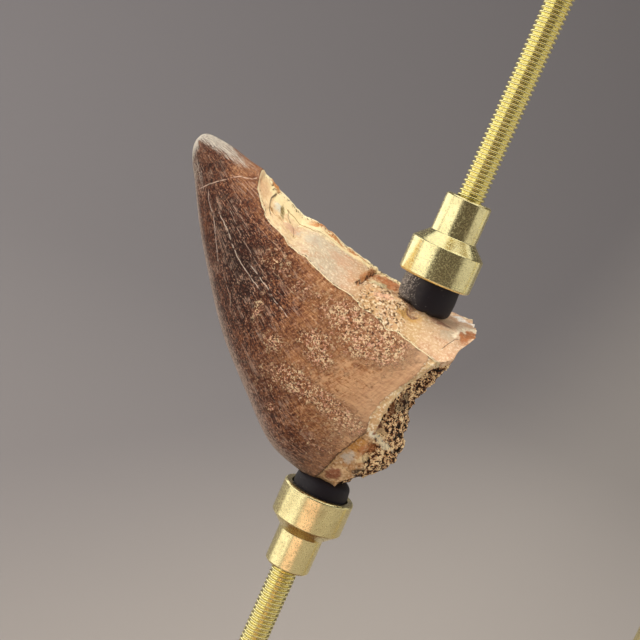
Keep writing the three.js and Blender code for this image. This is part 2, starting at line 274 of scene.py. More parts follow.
def makeBrass(name, centre, tarnished, roughness, markDepth, anisotropy=0.0, bright="bright"):
    material, tree, shader = newMaterial(name)
    place = millimetres(tree, centre)
    marks = useGroup(tree, turningMarks, {"Place": place, "Fineness": brassFinish["fineness"]})
    metal = useGroup(tree, tarnish, {
        "Place": place, "Bright": paint(brassFinish[bright]), "Dull": paint(brassFinish["dull"]),
        "Amount": tarnished,
    })
    uneven = scaleAdd(tree, marks["Unevenness"], 0.12, roughness - 0.06)
    grain = noiseOf(tree, place, 4.5, 2.0, 0.8)
    uneven = scaleAdd(tree, between(tree, grain, 0.48, 0.66), 0.3, uneven)
    height = scaleAdd(tree, grain, brassFinish["grain"], marks["Height"])
    wire(tree, shader.inputs, {
        "Base Color": metal["Color"],
        "Metallic": 1.0,
        "Roughness": scaleAdd(tree, metal["Dullness"], 0.16, uneven),
        "Anisotropic": anisotropy,
        "Normal": bumpOf(tree, height, 0.5, markDepth),
    })
    if anisotropy > 0:
        tangent = addNode(tree, "ShaderNodeTangent", direction_type="RADIAL", axis="Z")
        wire(tree, shader.inputs, {"Tangent": tangent.outputs[0]})
    return material


def makeBrushedBrass(heading):  # the milled arm, brushed along its length
    material, tree, shader = newMaterial("milledBrass")
    place = millimetres(tree)
    lengthwise = stretched(tree, place, (0.07, 1.6, 1.6), (0, 0, -heading))
    brushed = noiseOf(tree, lengthwise, 3.2, 5.0, 0.75)
    metal = useGroup(tree, tarnish, {
        "Place": place, "Bright": paint(brassFinish["bright"]), "Dull": paint(brassFinish["dull"]),
        "Amount": 0.3,
    })
    wire(tree, shader.inputs, {
        "Base Color": metal["Color"],
        "Metallic": 1.0,
        "Roughness": scaleAdd(tree, brushed, 0.25, 0.18),
        "Normal": bumpOf(tree, brushed, 0.35, 0.05),
    })
    return material


rubberFinish = {"base": "19151a", "dust": "e6dccf", "dustHaze": "5a524d"}


def makeRubber(name, centre, dustSide):
    material, tree, shader = newMaterial(name)
    place = millimetres(tree, centre)
    axes = axesOf(tree, place)
    side = between(tree, axes["X"], 0.0, -4.2)
    cover = scaleAdd(tree, side, dustSide, 0.1)
    film = useGroup(tree, dust, {
        "Place": place, "Base": paint(rubberFinish["base"]), "Dust": paint(rubberFinish["dust"]),
        "Cover": cover,
    })
    haze = times(tree, noiseOf(tree, place, 1.6), dustSide, side)
    pores = noiseOf(tree, place, 7.0, 3.0, 0.7)
    wire(tree, shader.inputs, {
        "Base Color": mixColors(tree, haze, film["Color"], paint(rubberFinish["dustHaze"])),
        "Roughness": scaleAdd(tree, film["Mask"], 0.3, 0.55),
        "Specular IOR Level": 0.3,
        "Normal": bumpOf(tree, plus(tree, pores, film["Mask"]), 0.5, 0.08),
    })
    return material


walnutFinish = {
    "light": "7a5236", "mid": "54341f", "dark": "2f1c12", "ringSize": 0.32, "pores": 2.6, "roughness": 0.42,
}


def makeWalnut():
    material, tree, shader = newMaterial("walnut")
    place = millimetres(tree)
    tilted = stretched(tree, place, (0.09, 1.0, 1.0), (0.06, 0.05, 0.03), (0, 9, -26))
    drift = noiseOf(tree, tilted, 0.09, 3.0, 0.5)
    rings = addNode(tree, "ShaderNodeTexWave", {
        "Vector": tilted, "Scale": walnutFinish["ringSize"], "Distortion": 7.0, "Detail": 3.0,
        "Detail Scale": 0.6,
    }, wave_type="RINGS", rings_direction="X", wave_profile="SAW").outputs["Fac"]
    shade = scaleAdd(tree, rings, 0.55, times(tree, drift, 0.45))
    fibres = stretched(tree, place, (0.05, 1.0, 1.0))
    fine = noiseOf(tree, fibres, 3.5, 4.0, 0.7)
    pores = between(tree, noiseOf(tree, fibres, walnutFinish["pores"], 2.0, 0.8), 0.64, 0.72)
    grain = rampOf(tree, scaleAdd(tree, fine, 0.3, minus(tree, shade, 0.12)), [
        (0.1, walnutFinish["dark"]), (0.45, walnutFinish["mid"]), (0.85, walnutFinish["light"]),
    ])
    wire(tree, shader.inputs, {
        "Base Color": mixColors(tree, pores, grain, paint("1f120b")),
        "Roughness": scaleAdd(tree, fine, 0.18, walnutFinish["roughness"] - 0.08),
        "Coat Weight": 0.25,
        "Coat Roughness": 0.22,
        "Normal": bumpOf(tree, minus(tree, fine, pores), 0.35, 0.06),
    })
    return material


# Meshes

def meshOf(name, points, faces, attributes=None):
    mesh = bpy.data.meshes.new(name)
    mesh.from_pydata((np.asarray(points) * mm).tolist(), [], faces)
    mesh.polygons.foreach_set("use_smooth", [True] * len(mesh.polygons))
    for label, values in (attributes or {}).items():
        kind, field = ("FLOAT", "value") if values.ndim == 1 else ("FLOAT_VECTOR", "vector")
        mesh.attributes.new(label, kind, "POINT").data.foreach_set(field, values.astype(np.float32).ravel())
    mesh.update()
    return mesh


def placeObject(name, data):
    made = bpy.data.objects.new(name, data)
    bpy.context.scene.collection.objects.link(made)
    return made


def addPiece(name, mesh, nodes, material):
    piece = placeObject(name, mesh)
    mesh.materials.clear()
    mesh.materials.append(material)
    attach(piece, bodyOf[nodes[0]])
    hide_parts(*nodes)
    print("made", name, len(mesh.polygons), "faces")


def ringFaces(rings, sides, flip=False):  # quads between closed rings, a fan at either end
    faces = []
    for side in range(sides):
        after = (side + 1) % sides
        faces.append((0, 1 + side, 1 + after))
        for ring in range(rings - 1):
            low, high = 1 + ring * sides, 1 + (ring + 1) * sides
            faces.append((low + side, high + side, high + after, low + after))
        last = 1 + (rings - 1) * sides
        faces.append((last + after, last + side, 1 + rings * sides))
    return [face[::-1] for face in faces] if flip else faces


def softened(profile, radius):  # rounds a profile's corners and holds its flats with extra points
    made = [profile[0]]
    for before, corner, after in zip(profile, profile[1:], profile[2:]):
        before, corner, after = (np.array(p, float) for p in (before, corner, after))
        lengths = np.linalg.norm(before - corner), np.linalg.norm(after - corner)
        cut = min(radius, 0.4 * lengths[0], 0.4 * lengths[1])
        start = corner + (before - corner) / lengths[0] * cut
        end = corner + (after - corner) / lengths[1] * cut
        made.append(tuple(start + (before - corner) / lengths[0] * cut * 0.25))
        for t in np.linspace(0, 1, 5):
            made.append(tuple((1 - t) ** 2 * start + 2 * t * (1 - t) * corner + t * t * end))
        made.append(tuple(end + (after - corner) / lengths[1] * cut * 0.25))
    return made + [profile[-1]]


def anglesOf(sides):
    return np.arange(sides) / sides * 2 * math.pi


def ringAt(centre, radius, height, angles):
    return [(centre[0] + radius * math.cos(a), centre[1] + radius * math.sin(a), height) for a in angles]


def turnedMesh(name, profile, centre, sides=128):  # a profile of (radius, height) from the axis round to it
    points = [(centre[0], centre[1], profile[0][1])]
    for radius, height in profile[1:-1]:
        points += ringAt(centre, radius, height, anglesOf(sides))
    points.append((centre[0], centre[1], profile[-1][1]))
    return meshOf(name, points, ringFaces(len(profile) - 2, sides, flip=True))


# Tooth. The crown is a stack of rings from the tip (along 0) to the root (along 1); the angle goes
# round each ring from the upper edge (0) over the broad front (90) and the lower edge (180).

toothShape = {
    "upperEdge": [(-38.9, 22.1), (-38.25, 23.1), (-37, 23.45), (-34, 23.15), (-30, 22.15),
                  (-24.5, 21.3), (-17.5, 20.2), (-9.3, 19), (-0.3, 18.1), (10.3, 17.6)],
    "lowerEdge": [(-38.9, 22.1), (-38.85, 20.7), (-38.1, 18.7), (-36.5, 15.9), (-33.8, 11),
                  (-30.1, 5.3), (-24.8, -1.9), (-18.4, -8.4), (-11.2, -14.5), (-0.9, -17.1)],
    "frontFullness": 0.55,
    "backFullness": 0.66,
    "tipRoundness": 0.28,
    "tipEnd": 0.55,
    "edgeSharpness": 1.06,
    "rimReach": [(0, 1), (30, 1), (50, 0.99), (65, 0.966), (80, 0.953), (98, 0.957), (112, 0.97),
                 (122, 0.978), (128, 1), (140, 1), (150, 0.988), (165, 0.995), (180, 1), (215, 0.985),
                 (270, 0.97), (330, 0.99), (360, 1)],
    "rootBulge": 4.3,
    "rootBulgeZ": -8.6,
    "rootBulgeSpread": 6.2,
    "rootCrown": 0.8,
    "rootDirection": (0.95, 0, -0.3),
    "fan": (8, 0.12),  # how wide the streaks fan out, and how long they run
    "rows": 212,
    "sides": 332,
    "rootRings": 56,
    "frontDensity": 0.35,
}

chipShape = {
    "backY": 4.5,
    "backEdge": [(-29.5, 26), (-28, 22.3), (-26.5, 21.2), (-25, 20.5), (-20.8, 17.75), (-18, 17.7),
                 (-14, 16.1), (-8.8, 14.6), (-4.4, 14.05), (4.1, 13), (8.3, 13.1)],
    "slope": [(-28, 0.45), (-26, 0.5), (-20, 0.42), (-12, 0.34), (-6, 0.2), (-2, 0.1)],
    "frontY": -3.3,
    "frontSlope": [(-20, 0), (-10, 0.1), (-4, 0.65)],
    "frontShift": [(-28, -0.05), (-26.3, -0.07), (-24.4, 0.05), (-21.8, 0.77), (-18.9, 0.13), (-12, 0.16),
                   (-8.3, 0.15), (-5.3, 0.53), (-2.9, 0.17), (-1, -0.13), (2.5, -0.13)],
    "orangeLine": (2.4, 0.26, -20.2),
    "passes": 14,
    "passShare": 0.9,
}

# Where the enamel ends towards the root: share of the crown's length by angle
enamelEnd = [(0, 0.93), (50, 0.915), (62, 0.907), (76, 0.911), (81, 0.905), (87, 0.896), (93, 0.891),
             (102, 0.896), (109, 0.916), (118, 0.910), (129, 0.904), (148, 0.911), (160, 0.911),
             (180, 0.92), (225, 0.93), (270, 0.945), (330, 0.93), (360, 0.93)]

# How far inside the rim the spongy root starts, by angle
rimWidth = [(0, 0.5), (40, 0.3), (50, 0.4), (60, 1.3), (70, 1.5), (80, 0.9), (90, 0.3), (96, 0.7), (103, 0.4),
            (112, 0.8), (124, 0.25), (150, 0.4), (200, 0.8), (340, 0.8), (360, 0.5)]

# Long cracks: the face they lie in, colour, width, strength and the line they follow, which is (x, z) on
# the enamelled front and (x, y) on the chipped face
cracks = {
    "tipCrack": ("front", "ecd0ba", 0.12, 0.9,
                 [(-35.5, 16.0), (-34.5, 17.2), (-33.5, 18.0), (-32.5, 18.8), (-31.7, 19.4), (-30.9, 19.9),
                  (-29.4, 20.1), (-28.7, 20.6)]),
    "leftCrack": ("front", "e8d4c2", 0.1, 0.8,
                  [(-34.3, 16.3), (-33.6, 14.8), (-32.2, 13.3), (-31.2, 11.6), (-30.1, 9.6), (-29.1, 7.7)]),
    "leftLow": ("front", "d8bca4", 0.09, 0.6, [(-28.2, 7.2), (-27.0, 5.6), (-25.6, 4.1), (-24.9, 2.6)]),
    "midCrack": ("front", "f0dcc6", 0.12, 0.85,
                 [(-31.7, 14.1), (-29.6, 12.5), (-28.0, 10.7), (-26.7, 9.6), (-25.6, 8.8), (-23.9, 7.8),
                  (-22.2, 6.9)]),
    "midLow": ("front", "f0dcc6", 0.12, 0.85,
               [(-24.5, 9.3), (-22.6, 8.3), (-20.8, 7.3), (-19.3, 6.2), (-17.7, 5.5), (-16.9, 5.0)]),
    "upperMid": ("front", "dcc0a8", 0.09, 0.65,
                 [(-30.2, 15.0), (-28.2, 13.1), (-25.9, 11.4), (-24.1, 10.2), (-22.4, 9.2)]),
    "sideCrack": ("front", "d8b898", 0.09, 0.7,
                  [(-23.4, 13.7), (-21.6, 13.1), (-19.1, 11.4), (-17.7, 10.6), (-16.4, 10.3)]),
    "sideLow": ("front", "d8b898", 0.09, 0.65, [(-21.3, 9.9), (-19.1, 8.9), (-17.3, 8.3), (-15.8, 7.9)]),
    "blockCrack": ("chip", "4a3316", 0.16, 0.95,
                   [(-25.5, 1.5), (-25.8, -0.2), (-25.8, -1.1), (-25.4, -2.3), (-24.9, -3.1)]),
    "lensCrack": ("chip", "7d5830", 0.12, 0.85, [(-23.0, 1.5), (-22.6, 0.3), (-21.4, -0.4), (-20.6, -1.9)]),
    "fissure": ("chip", "8f6a3c", 0.08, 0.8,
                [(-23.3, 1.5), (-21.2, 1.8), (-18.4, 1.9), (-16.1, 2.9), (-14.0, 3.9)]),
    "crevice": ("chip", "4c2409", 0.15, 0.95,
                [(-10.2, -3.4), (-9.8, -2.0), (-9.5, -0.9), (-8.9, 0.3), (-9.0, 1.4), (-8.6, 2.4),
                 (-8.5, 3.5), (-8.0, 4.9)]),
    "cornerCrack": ("chip", "4f3018", 0.09, 0.9, [(4.4, -6.7), (5.1, -5.6), (5.9, -4.6), (6.3, -4.3)]),
}

# Places with a stain, and two painted shadows round the upper pad's foot, by the face they lie in: centre,
# half sizes, turn in degrees, colour and strength
stainsAndShadows = {
    "chip": [
        ((-26.3, 2.4, 20.0), (1.1, 0.8), 0, "c07a3c", 0.95),
        ((-27.6, 2.6, 21.0), (0.8, 0.5), 20, "fff7e0", 0.95),
        ((-24.3, -0.2, 17.8), (1.15, 0.8), 20, "ded7c0", 1.0),
        ((-27.3, -0.8, 20.3), (1.5, 2.2), 0, "dcb086", 0.8),
        ((-24.9, -1.6, 17.4), (0.9, 0.6), 0, "9c661f", 1.0),
        ((-23.6, 0.2, 17.9), (0.5, 1.5), 10, "75642c", 0.95),
        ((-23.7, -1.5, 17.1), (0.8, 0.5), 0, "b88c58", 0.8),
        ((-21.3, -0.9, 16.4), (1.7, 0.85), 30, "d0a688", 0.9),
        ((-18.0, -0.4, 15.6), (2.2, 1.3), 15, "c6b9a2", 0.7),
        ((-13.6, 0.2, 14.4), (2.0, 1.3), 15, "c89c7c", 0.6),
        ((-17.0, 4.7, 17.2), (1.6, 0.5), 12, "c8793a", 0.85),
        ((-8.9, 2.0, 14.4), (4.6, 0.6), 77, "b4703a", 0.8),
        ((-7.4, 4.6, 14.6), (1.3, 0.8), 0, "c98a38", 0.9),
        ((-5.7, 3.6, 14.0), (3.2, 2.3), -12, "b46c3c", 0.9),
        ((-6.9, 1.2, 13.7), (1.3, 0.9), 0, "d2c49a", 0.9),
        ((-5.7, -3.7, 12.4), (1.6, 1.1), 10, "e6b292", 0.85),
        ((-1.6, -4.9, 11.6), (2.0, 1.1), 0, "cd9c52", 0.8),
        # painted shadow round the upper pad's foot, with a reddish stain
        ((-2.0, -2.6, 12.6), (0.9, 2.6), 35, "60322a", 0.8),
        ((3.2, -2.9, 12.3), (2.0, 1.0), 0, "7c4a38", 0.8),
        ((4.8, -4.3, 12.0), (1.6, 1.1), 0, "c7b498", 0.75),
        ((7.4, -1.6, 12.4), (1.9, 3.7), -15, "ffefd0", 0.9),
        ((7.4, -2.4, 12.2), (1.0, 2.6), -15, "b56c36", 0.9),
        ((6.8, 4.6, 13.1), (2.6, 1.0), -8, "fffaf0", 0.9),
    ],
    "front": [
        ((-1.8, -8.8, 7.9), (1.2, 0.5), 65, "f3deb0", 0.95),
        ((-0.9, -8.6, -7.4), (1.6, 1.3), 60, "c98f48", 0.9),
        ((0.9, -8.5, -7.3), (1.5, 0.9), 60, "c07a48", 0.8),
        ((-1.3, -7.7, -9.9), (1.3, 0.9), 60, "cbbfae", 0.85),
        ((0.5, -8.2, -9.3), (1.0, 0.6), 40, "ead0a0", 0.8),
        ((1.0, -9.1, -5.3), (1.7, 0.55), -35, "fff8de", 1.0),
        ((3.1, -7.0, -6.5), (1.7, 0.5), -20, "fff0cc", 0.95),
        ((1.7, -8.4, -0.8), (0.7, 1.3), 10, "6f3f20", 0.95),
        ((0.9, -9.2, -3.7), (0.35, 1.5), -12, "8a5a48", 0.85),
        ((-2.1, -5.7, -13.5), (2.2, 1.55), 50, "eecb9c", 0.95),
        ((-2.1, -5.7, -13.4), (1.35, 0.95), 50, "9c5f48", 0.85),
        ((0.8, -7.4, -11.1), (1.0, 0.7), 40, "1d130d", 0.9),
        ((2.8, -6.5, 0.3), (1.2, 1.8), 0, "20150d", 0.7),
    ],
}

# Where pale and dark crystals lie thick in the enamel: centre (x, z), half sizes and amount
grainSpots = [
    ((-10.2, 8.4), (2.6, 1.8), 0.7), ((-6.5, 6.9), (3.2, 2.6), 1.0), ((-2.2, 6.9), (2.6, 2.0), 0.95),
    ((-12.4, 3.6), (1.9, 1.2), 1.1), ((-17.4, 1.0), (1.5, 1.2), 1.05), ((-21.1, 4.2), (0.7, 1.8), 0.85),
    ((-13.2, -2.2), (2.2, 1.1), 0.95), ((-9.8, -3.2), (2.2, 1.1), 1.1), ((-6.2, -3.8), (2.0, 1.2), 1.0),
    ((-3.0, -5.0), (2.4, 1.3), 1.0), ((-14.2, -8.0), (0.8, 0.6), 1.0), ((-10.3, 1.5), (1.6, 1.1), 0.95),
    ((-22.0, 11.5), (2.6, 1.6), 0.55), ((-16.5, 9.4), (3.0, 1.2), 0.45), ((-15.0, -4.5), (4.0, 2.4), 0.4),
    ((-6.0, -9.5), (4.0, 2.6), 0.45),
]


def readOff(points, position):
    places, values = zip(*points)
    return np.interp(position, places, values)


def smooth(low, high, value):
    t = np.clip((value - low) / (high - low), 0, 1)
    return t * t * (3 - 2 * t)


def splineAt(points, along):  # smooth curve through evenly counted points
    points = np.array(points)
    last = len(points) - 1
    place = np.clip(along, 0, 1) * last
    index = np.minimum(place.astype(int), last - 1)
    t = (place - index)[..., None]
    before, start = points[np.maximum(index - 1, 0)], points[index]
    end, after = points[index + 1], points[np.minimum(index + 2, last)]
    leave, arrive = (end - before) / 2, (after - start) / 2
    cubic = (2 * start - 2 * end + leave + arrive) * t ** 3
    return cubic + (3 * end - 3 * start - 2 * leave - arrive) * t ** 2 + leave * t + start


def lumps(points, size, seed):  # smooth noise from -1 to 1 with lumps of about that size
    table = np.random.default_rng(seed).random(4096)
    scaled = points / size
    cell = np.floor(scaled).astype(int)
    part = scaled - cell
    part = part * part * (3 - 2 * part)
    total = np.zeros(points.shape[:-1])
    for corner in itertools.product((0, 1), repeat=3):
        weight = np.prod(np.where(np.array(corner) == 1, part, 1 - part), axis=-1)
        total += weight * table[((cell + corner) @ (73, 1571, 311)) % len(table)]
    return total * 2 - 1


def mound(across, centre, size):  # 1 at the centre, falling away to either side
    return np.exp(-((across - centre) / size) ** 2)


def chipHeight(x, y):  # height of the long chipped face, with its steps, pits and ridges
    base = readOff(chipShape["backEdge"], x) - readOff(chipShape["slope"], x) * (chipShape["backY"] - y)
    base -= readOff(chipShape["frontSlope"], x) * np.maximum(chipShape["frontY"] - y, 0)
    base += readOff(chipShape["frontShift"], x) * smooth(-2, -4, y)
    flat = np.stack([x, y, np.zeros_like(x)], -1)
    rough = 0.14 * lumps(flat, 3.4, 11) + 0.05 * lumps(flat, 1.1, 12)
    block = 0.42 * smooth(-25.45, -25.75, x) * smooth(3.4, 2.6, y)
    flake = 0.5 * mound(x, -27.3, 0.8) * smooth(1.5, 1.9, y) * smooth(3.3, 3.0, y)
    pit = -0.7 * mound(x, -24.7, 0.6) * mound(y, -1.4, 0.55)
    pit -= 0.3 * mound(x, -23.6, 0.35) * mound(y, 0.4, 1.0)
    crystal = 0.32 * mound(x, -24.4, 0.7) * mound(y, -0.1, 0.5)
    split = -10.2 + (y + 3.4) * 0.25 + 0.3 * lumps(flat, 0.9, 13)
    behind = smooth(-4.4, -3.0, y)
    step = -0.5 * smooth(split, split + 0.25, x) * np.exp(-np.maximum(x - split, 0) / 3.2) * behind
    crevice = -0.4 * mound(x, split + 0.2, 0.2) * smooth(-3.8, -2.4, y) * smooth(6.5, 4.4, y)
    hollow = -0.65 * mound(x, -1.5, 1.1) * mound(y, -4.6, 1.0)
    ridge = 0.32 * mound(x, 0.4 - 0.15 * (y + 3), 0.3) * smooth(-5.6, -4.8, y) * smooth(-0.6, -1.6, y)
    grainy = smooth(-9.4, -8.6, x) * smooth(-2.0, -3.2, x)
    grit = grainy * (0.16 * lumps(flat, 0.75, 14) + 0.12 * lumps(flat, 0.4, 15))
    lipLine = 1.6 + 0.09 * (x + 20) + 0.2 * lumps(flat, 2.0, 16)
    lip = smooth(-24.2, -23, x) * smooth(-10.5, -13, x) * (
        -0.16 * mound(y, lipLine, 0.14) + 0.1 * mound(y, lipLine + 0.5, 0.35))
    lens = -0.2 * mound(np.hypot((x + 21.4) / 1.7, (y + 0.9) / 0.9), 1.0, 0.16) * smooth(-18.6, -19.6, x)
    jagged = 0.16 * lumps(flat, 0.7, 17) * smooth(3.0, 4.4, y)
    corner = 0.22 * smooth(5.2, 6.2, x) * (lumps(flat, 1.2, 18) + 0.4 * lumps(flat, 0.5, 19))
    facet = -0.5 * mound(x, 7.6, 0.9) * mound(y, -2.2, 2.2)
    return (base + rough + block + flake + pit + crystal + step + crevice + hollow + ridge + grit + lip + lens
            + jagged + corner + facet)


def stainAndShadowField(points):  # how deep each point lies in a stain, two of them painted shadow, with that place's colour and strength
    x, y, z = points[..., 0], points[..., 1], points[..., 2]
    depth = np.full(x.shape, -1.0)
    colour = np.zeros(points.shape)
    strength = np.zeros(x.shape)
    ragged = 0.3 * lumps(points, 0.9, 41) + 0.2 * lumps(points, 0.4, 42)
    places = [(face, *place) for face, placed in stainsAndShadows.items() for place in placed]
    for face, centre, halfSizes, turn, code, amount in places:
        c, s = math.cos(math.radians(turn)), math.sin(math.radians(turn))
        offX, offY, offZ = x - centre[0], y - centre[1], z - centre[2]
        flatOff, deepOff = (offY, offZ) if face == "chip" else (offZ, offY)
        across, up = offX * c + flatOff * s, -offX * s + flatOff * c
        away = np.sqrt((across / halfSizes[0]) ** 2 + (up / halfSizes[1]) ** 2 + (deepOff / 3.5) ** 2)
        inside = 1 - away + ragged
        here = inside > np.where(inside > 0, -1, depth)
        colour = np.where(here[..., None], np.array(paint(code)[:3]), colour)
        strength = np.where(here, amount, strength)
        depth = np.maximum(depth, inside)
    return depth, colour, strength


def crownRings(along, angle):  # places on the whole crown, and the way from lower to upper edge at each
    upper, lower = splineAt(toothShape["upperEdge"], along), splineAt(toothShape["lowerEdge"], along)
    centre, reach = (upper + lower) / 2, (upper - lower) / 2
    halfWidth = np.linalg.norm(reach, axis=-1)
    sine = np.sin(angle)
    fullness = np.where(sine > 0, toothShape["frontFullness"], toothShape["backFullness"])
    fullness = fullness + toothShape["tipRoundness"] * (1 - smooth(0, toothShape["tipEnd"], along))
    x = centre[..., 0] + reach[..., 0] * np.cos(angle)
    z = centre[..., 1] + reach[..., 1] * np.cos(angle)
    y = -fullness * halfWidth * np.sign(sine) * np.abs(sine) ** toothShape["edgeSharpness"]
    chord = reach / halfWidth[..., None]
    return np.stack([x, y, z], -1), chord


def normalsOf(grid):  # outward normals of a grid of closed rings
    down = np.gradient(grid, axis=0)
    around = np.roll(grid, -1, axis=1) - np.roll(grid, 1, axis=1)
    normal = np.cross(around, down)
    return normal / np.maximum(np.linalg.norm(normal, axis=-1, keepdims=True), 1e-9)


def slopeOf(value, grid):  # how fast a value changes per millimetre over the surface
    stepDown = np.linalg.norm(np.gradient(grid, axis=0), axis=-1)
    stepRound = np.linalg.norm(np.roll(grid, -1, axis=1) - np.roll(grid, 1, axis=1), axis=-1) / 2
    down = np.gradient(value, axis=0) / np.maximum(stepDown, 1e-6)
    around = (np.roll(value, -1, axis=1) - np.roll(value, 1, axis=1)) / 2 / np.maximum(stepRound, 1e-6)
    return np.hypot(down, around)


def distanceTo(line, x, z):  # signed distance to a line of points, growing past its ends
    best = np.full(x.shape, 1e9)
    signed = np.full(x.shape, 1e9)
    for (startX, startZ), (endX, endZ) in zip(line, line[1:]):
        dx, dz = endX - startX, endZ - startZ
        length = math.hypot(dx, dz)
        t = ((x - startX) * dx + (z - startZ) * dz) / length ** 2
        t = np.clip(t, 0, 1)
        offX, offZ = x - startX - t * dx, z - startZ - t * dz
        far = np.hypot(offX, offZ)
        side = np.sign(offX * dz - offZ * dx)
        closer = far < best
        signed = np.where(closer, side * far, signed)
        best = np.minimum(best, far)
    return signed


def pastEnds(line, x, z):  # how far beyond either end of a line a place lies
    beyond = np.zeros(x.shape)
    for end, inner in ((line[0], line[1]), (line[-1], line[-2])):
        dx, dz = end[0] - inner[0], end[1] - inner[1]
        along = ((x - end[0]) * dx + (z - end[1]) * dz) / math.hypot(dx, dz)
        beyond = np.maximum(beyond, along)
    return beyond


def buildTooth():
    shape = toothShape
    part = np.arange(1, shape["rows"] + 1) / shape["rows"]
    share = part * (0.6 + 0.4 * part)  # closer rings at the tip
    turn = anglesOf(shape["sides"])
    turn = turn - shape["frontDensity"] * (1 - np.cos(turn))  # closer columns on the broad front
    share, angle = np.meshgrid(share, turn, indexing="ij")
    degrees = np.degrees(angle) % 360
    reach = readOff(shape["rimReach"], degrees)
    along = np.sqrt(share) * reach
    whole, chord = crownRings(along, angle)
    above = whole[..., 2] - chipHeight(whole[..., 0], whole[..., 1])
    crown = whole.copy()
    for _ in range(chipShape["passes"]):
        over = crown[..., 2] - chipHeight(crown[..., 0], crown[..., 1])
        drop = np.where(above > 0, over / np.maximum(chord[..., 1], 0.2), 0) * chipShape["passShare"]
        crown[..., 0] -= drop * chord[..., 0]
        crown[..., 2] -= drop * chord[..., 1]
    chipEdge = above / np.maximum(slopeOf(above, whole), 0.25)

    # the root end, from the rim inwards
    rim = crown[-1]
    middle = rim.mean(0)
    inwards = np.arange(1, shape["rootRings"])[:, None, None] / shape["rootRings"]
    root = rim + (middle - rim) * inwards
    low = (root[..., 2] - shape["rootBulgeZ"]) / shape["rootBulgeSpread"]
    bulge = (shape["rootBulge"] * np.exp(-low ** 2) + shape["rootCrown"]) * (1 - (1 - inwards[..., 0]) ** 3)
    root = root + np.array(shape["rootDirection"]) * bulge[..., None]
    skin = np.concatenate([crown, root])
    rimRow = shape["rows"] - 1

    steps = np.linalg.norm(np.diff(skin, axis=0), axis=-1)
    travelled = np.concatenate([np.zeros((1, shape["sides"])), np.cumsum(steps, axis=0)])
    edgeShare = readOff(enamelEnd, degrees[0]) / reach[0] ** 2
    edgeTravel = np.array([np.interp(edgeShare[j], share[:, 0], travelled[:shape["rows"], j])
                           for j in range(shape["sides"])])
    allAngle = np.concatenate([angle, np.repeat(angle[-1:], shape["rootRings"] - 1, axis=0)])
    allDegrees = np.degrees(allAngle) % 360
    enamelEdge = travelled - edgeTravel
    rootEdge = travelled - travelled[rimRow] - readOff(rimWidth, allDegrees)
    allShare = np.concatenate([along ** 2, np.ones(root.shape[:2])])
    allChip = np.concatenate([chipEdge, np.repeat(chipEdge[-1:], shape["rootRings"] - 1, axis=0)])

    # relief of the enamel, the broken rim and the spongy root
    normal = normalsOf(skin)
    fanWidth, fanLength = shape["fan"]
    fan = np.stack([np.cos(allAngle) * fanWidth, np.sin(allAngle) * fanWidth, travelled * fanLength], -1)
    onEnamel = smooth(0.1, -0.3, allChip) * smooth(0.1, -0.3, enamelEdge)
    relief = onEnamel * (0.05 * lumps(fan, 1.6, 21) + 0.03 * lumps(skin, 3.0, 22))
    grain = grainOf(skin)
    relief += onEnamel * np.clip(grain, 0, 1) * (0.05 * lumps(skin, 0.55, 28) + 0.05 * lumps(skin, 1.1, 29))
    broken = smooth(-0.05, 0.3, enamelEdge) * smooth(0.3, -0.1, allChip)
    lowFlake = smooth(106, 114, allDegrees) * smooth(170, 160, allDegrees)
    relief -= broken * (0.16 + 0.24 * lowFlake + 0.12 * lumps(skin, 1.4, 23) + 0.09 * lumps(skin, 0.6, 24))
    spongy = smooth(-0.1, 0.6, rootEdge)
    grains = 0.22 * lumps(skin, 1.7, 25) + 0.4 * lumps(skin, 0.8, 26) + 0.3 * lumps(skin, 0.45, 27)
    hollowed = 0.2 + 0.3 * mound(rootEdge, 0.5, 0.9) + 0.35 * mound(allDegrees, 42, 22)
    relief += spongy * (grains - hollowed)
    recess = smooth(84, 90, allDegrees) * smooth(116, 108, allDegrees)
    relief -= recess * mound(rootEdge, 0.6, 0.55) * 0.9
    skin = skin + normal * relief[..., None]
    x, y, z = skin[..., 0], skin[..., 1], skin[..., 2]
    dent = mound(x, 8.2, 2.2) * mound(z, 9.9, 1.6) * smooth(3.0, -2.0, y)
    skin[..., 0] -= 0.9 * dent

    depth, colour, strength = stainAndShadowField(skin)
    lift, slant, start = chipShape["orangeLine"]
    attributes = {
        "fan": fan,
        "enamelEdge": enamelEdge,
        "rootEdge": rootEdge,
        "chipEdge": allChip,
        "tone": toneOf(allShare, allDegrees),
        "worn": wornOf(allShare, allDegrees),
        "grain": grain,
        # where the enamel's lower edge gets its painted sheen
        "marginSheen": smooth(138, 168, allDegrees) * smooth(250, 200, allDegrees) * smooth(0.96, 0.8, allShare),
        "lowFlake": lowFlake,
        "backness": y - lift - slant * (x - start),
        "fading": smooth(80, 45, allDegrees) * smooth(0.62, 0.82, allShare),
        "stainShadowDepth": depth,
        "stainShadowColour": colour,
        "stainShadowStrength": strength,
    }
    for name, (face, *_, line) in cracks.items():
        up, wrongSide = (z, y > 1.0) if face == "front" else (y, allChip < -1.0)
        signed = distanceTo(line, x, up)
        over = np.maximum(pastEnds(line, x, up), np.where(wrongSide, 3, 0))
        attributes[name] = np.clip(signed, -3, 3) + np.sign(signed) * over * 1.5

    tip = np.array([tipPoint()])
    end = (middle + np.array(shape["rootDirection"]) * rootHeight(middle))[None]
    points = np.concatenate([tip, skin.reshape(-1, 3), end])
    flat = {name: joinEnds(values) for name, values in attributes.items()}
    rings = shape["rows"] + shape["rootRings"] - 1
    return points, ringFaces(rings, shape["sides"], flip=True), flat


def tipPoint():
    x, z = toothShape["upperEdge"][0]
    return x, 0.0, z


def rootHeight(middle):
    low = (middle[2] - toothShape["rootBulgeZ"]) / toothShape["rootBulgeSpread"]
    return toothShape["rootBulge"] * math.exp(-low ** 2) + toothShape["rootCrown"]


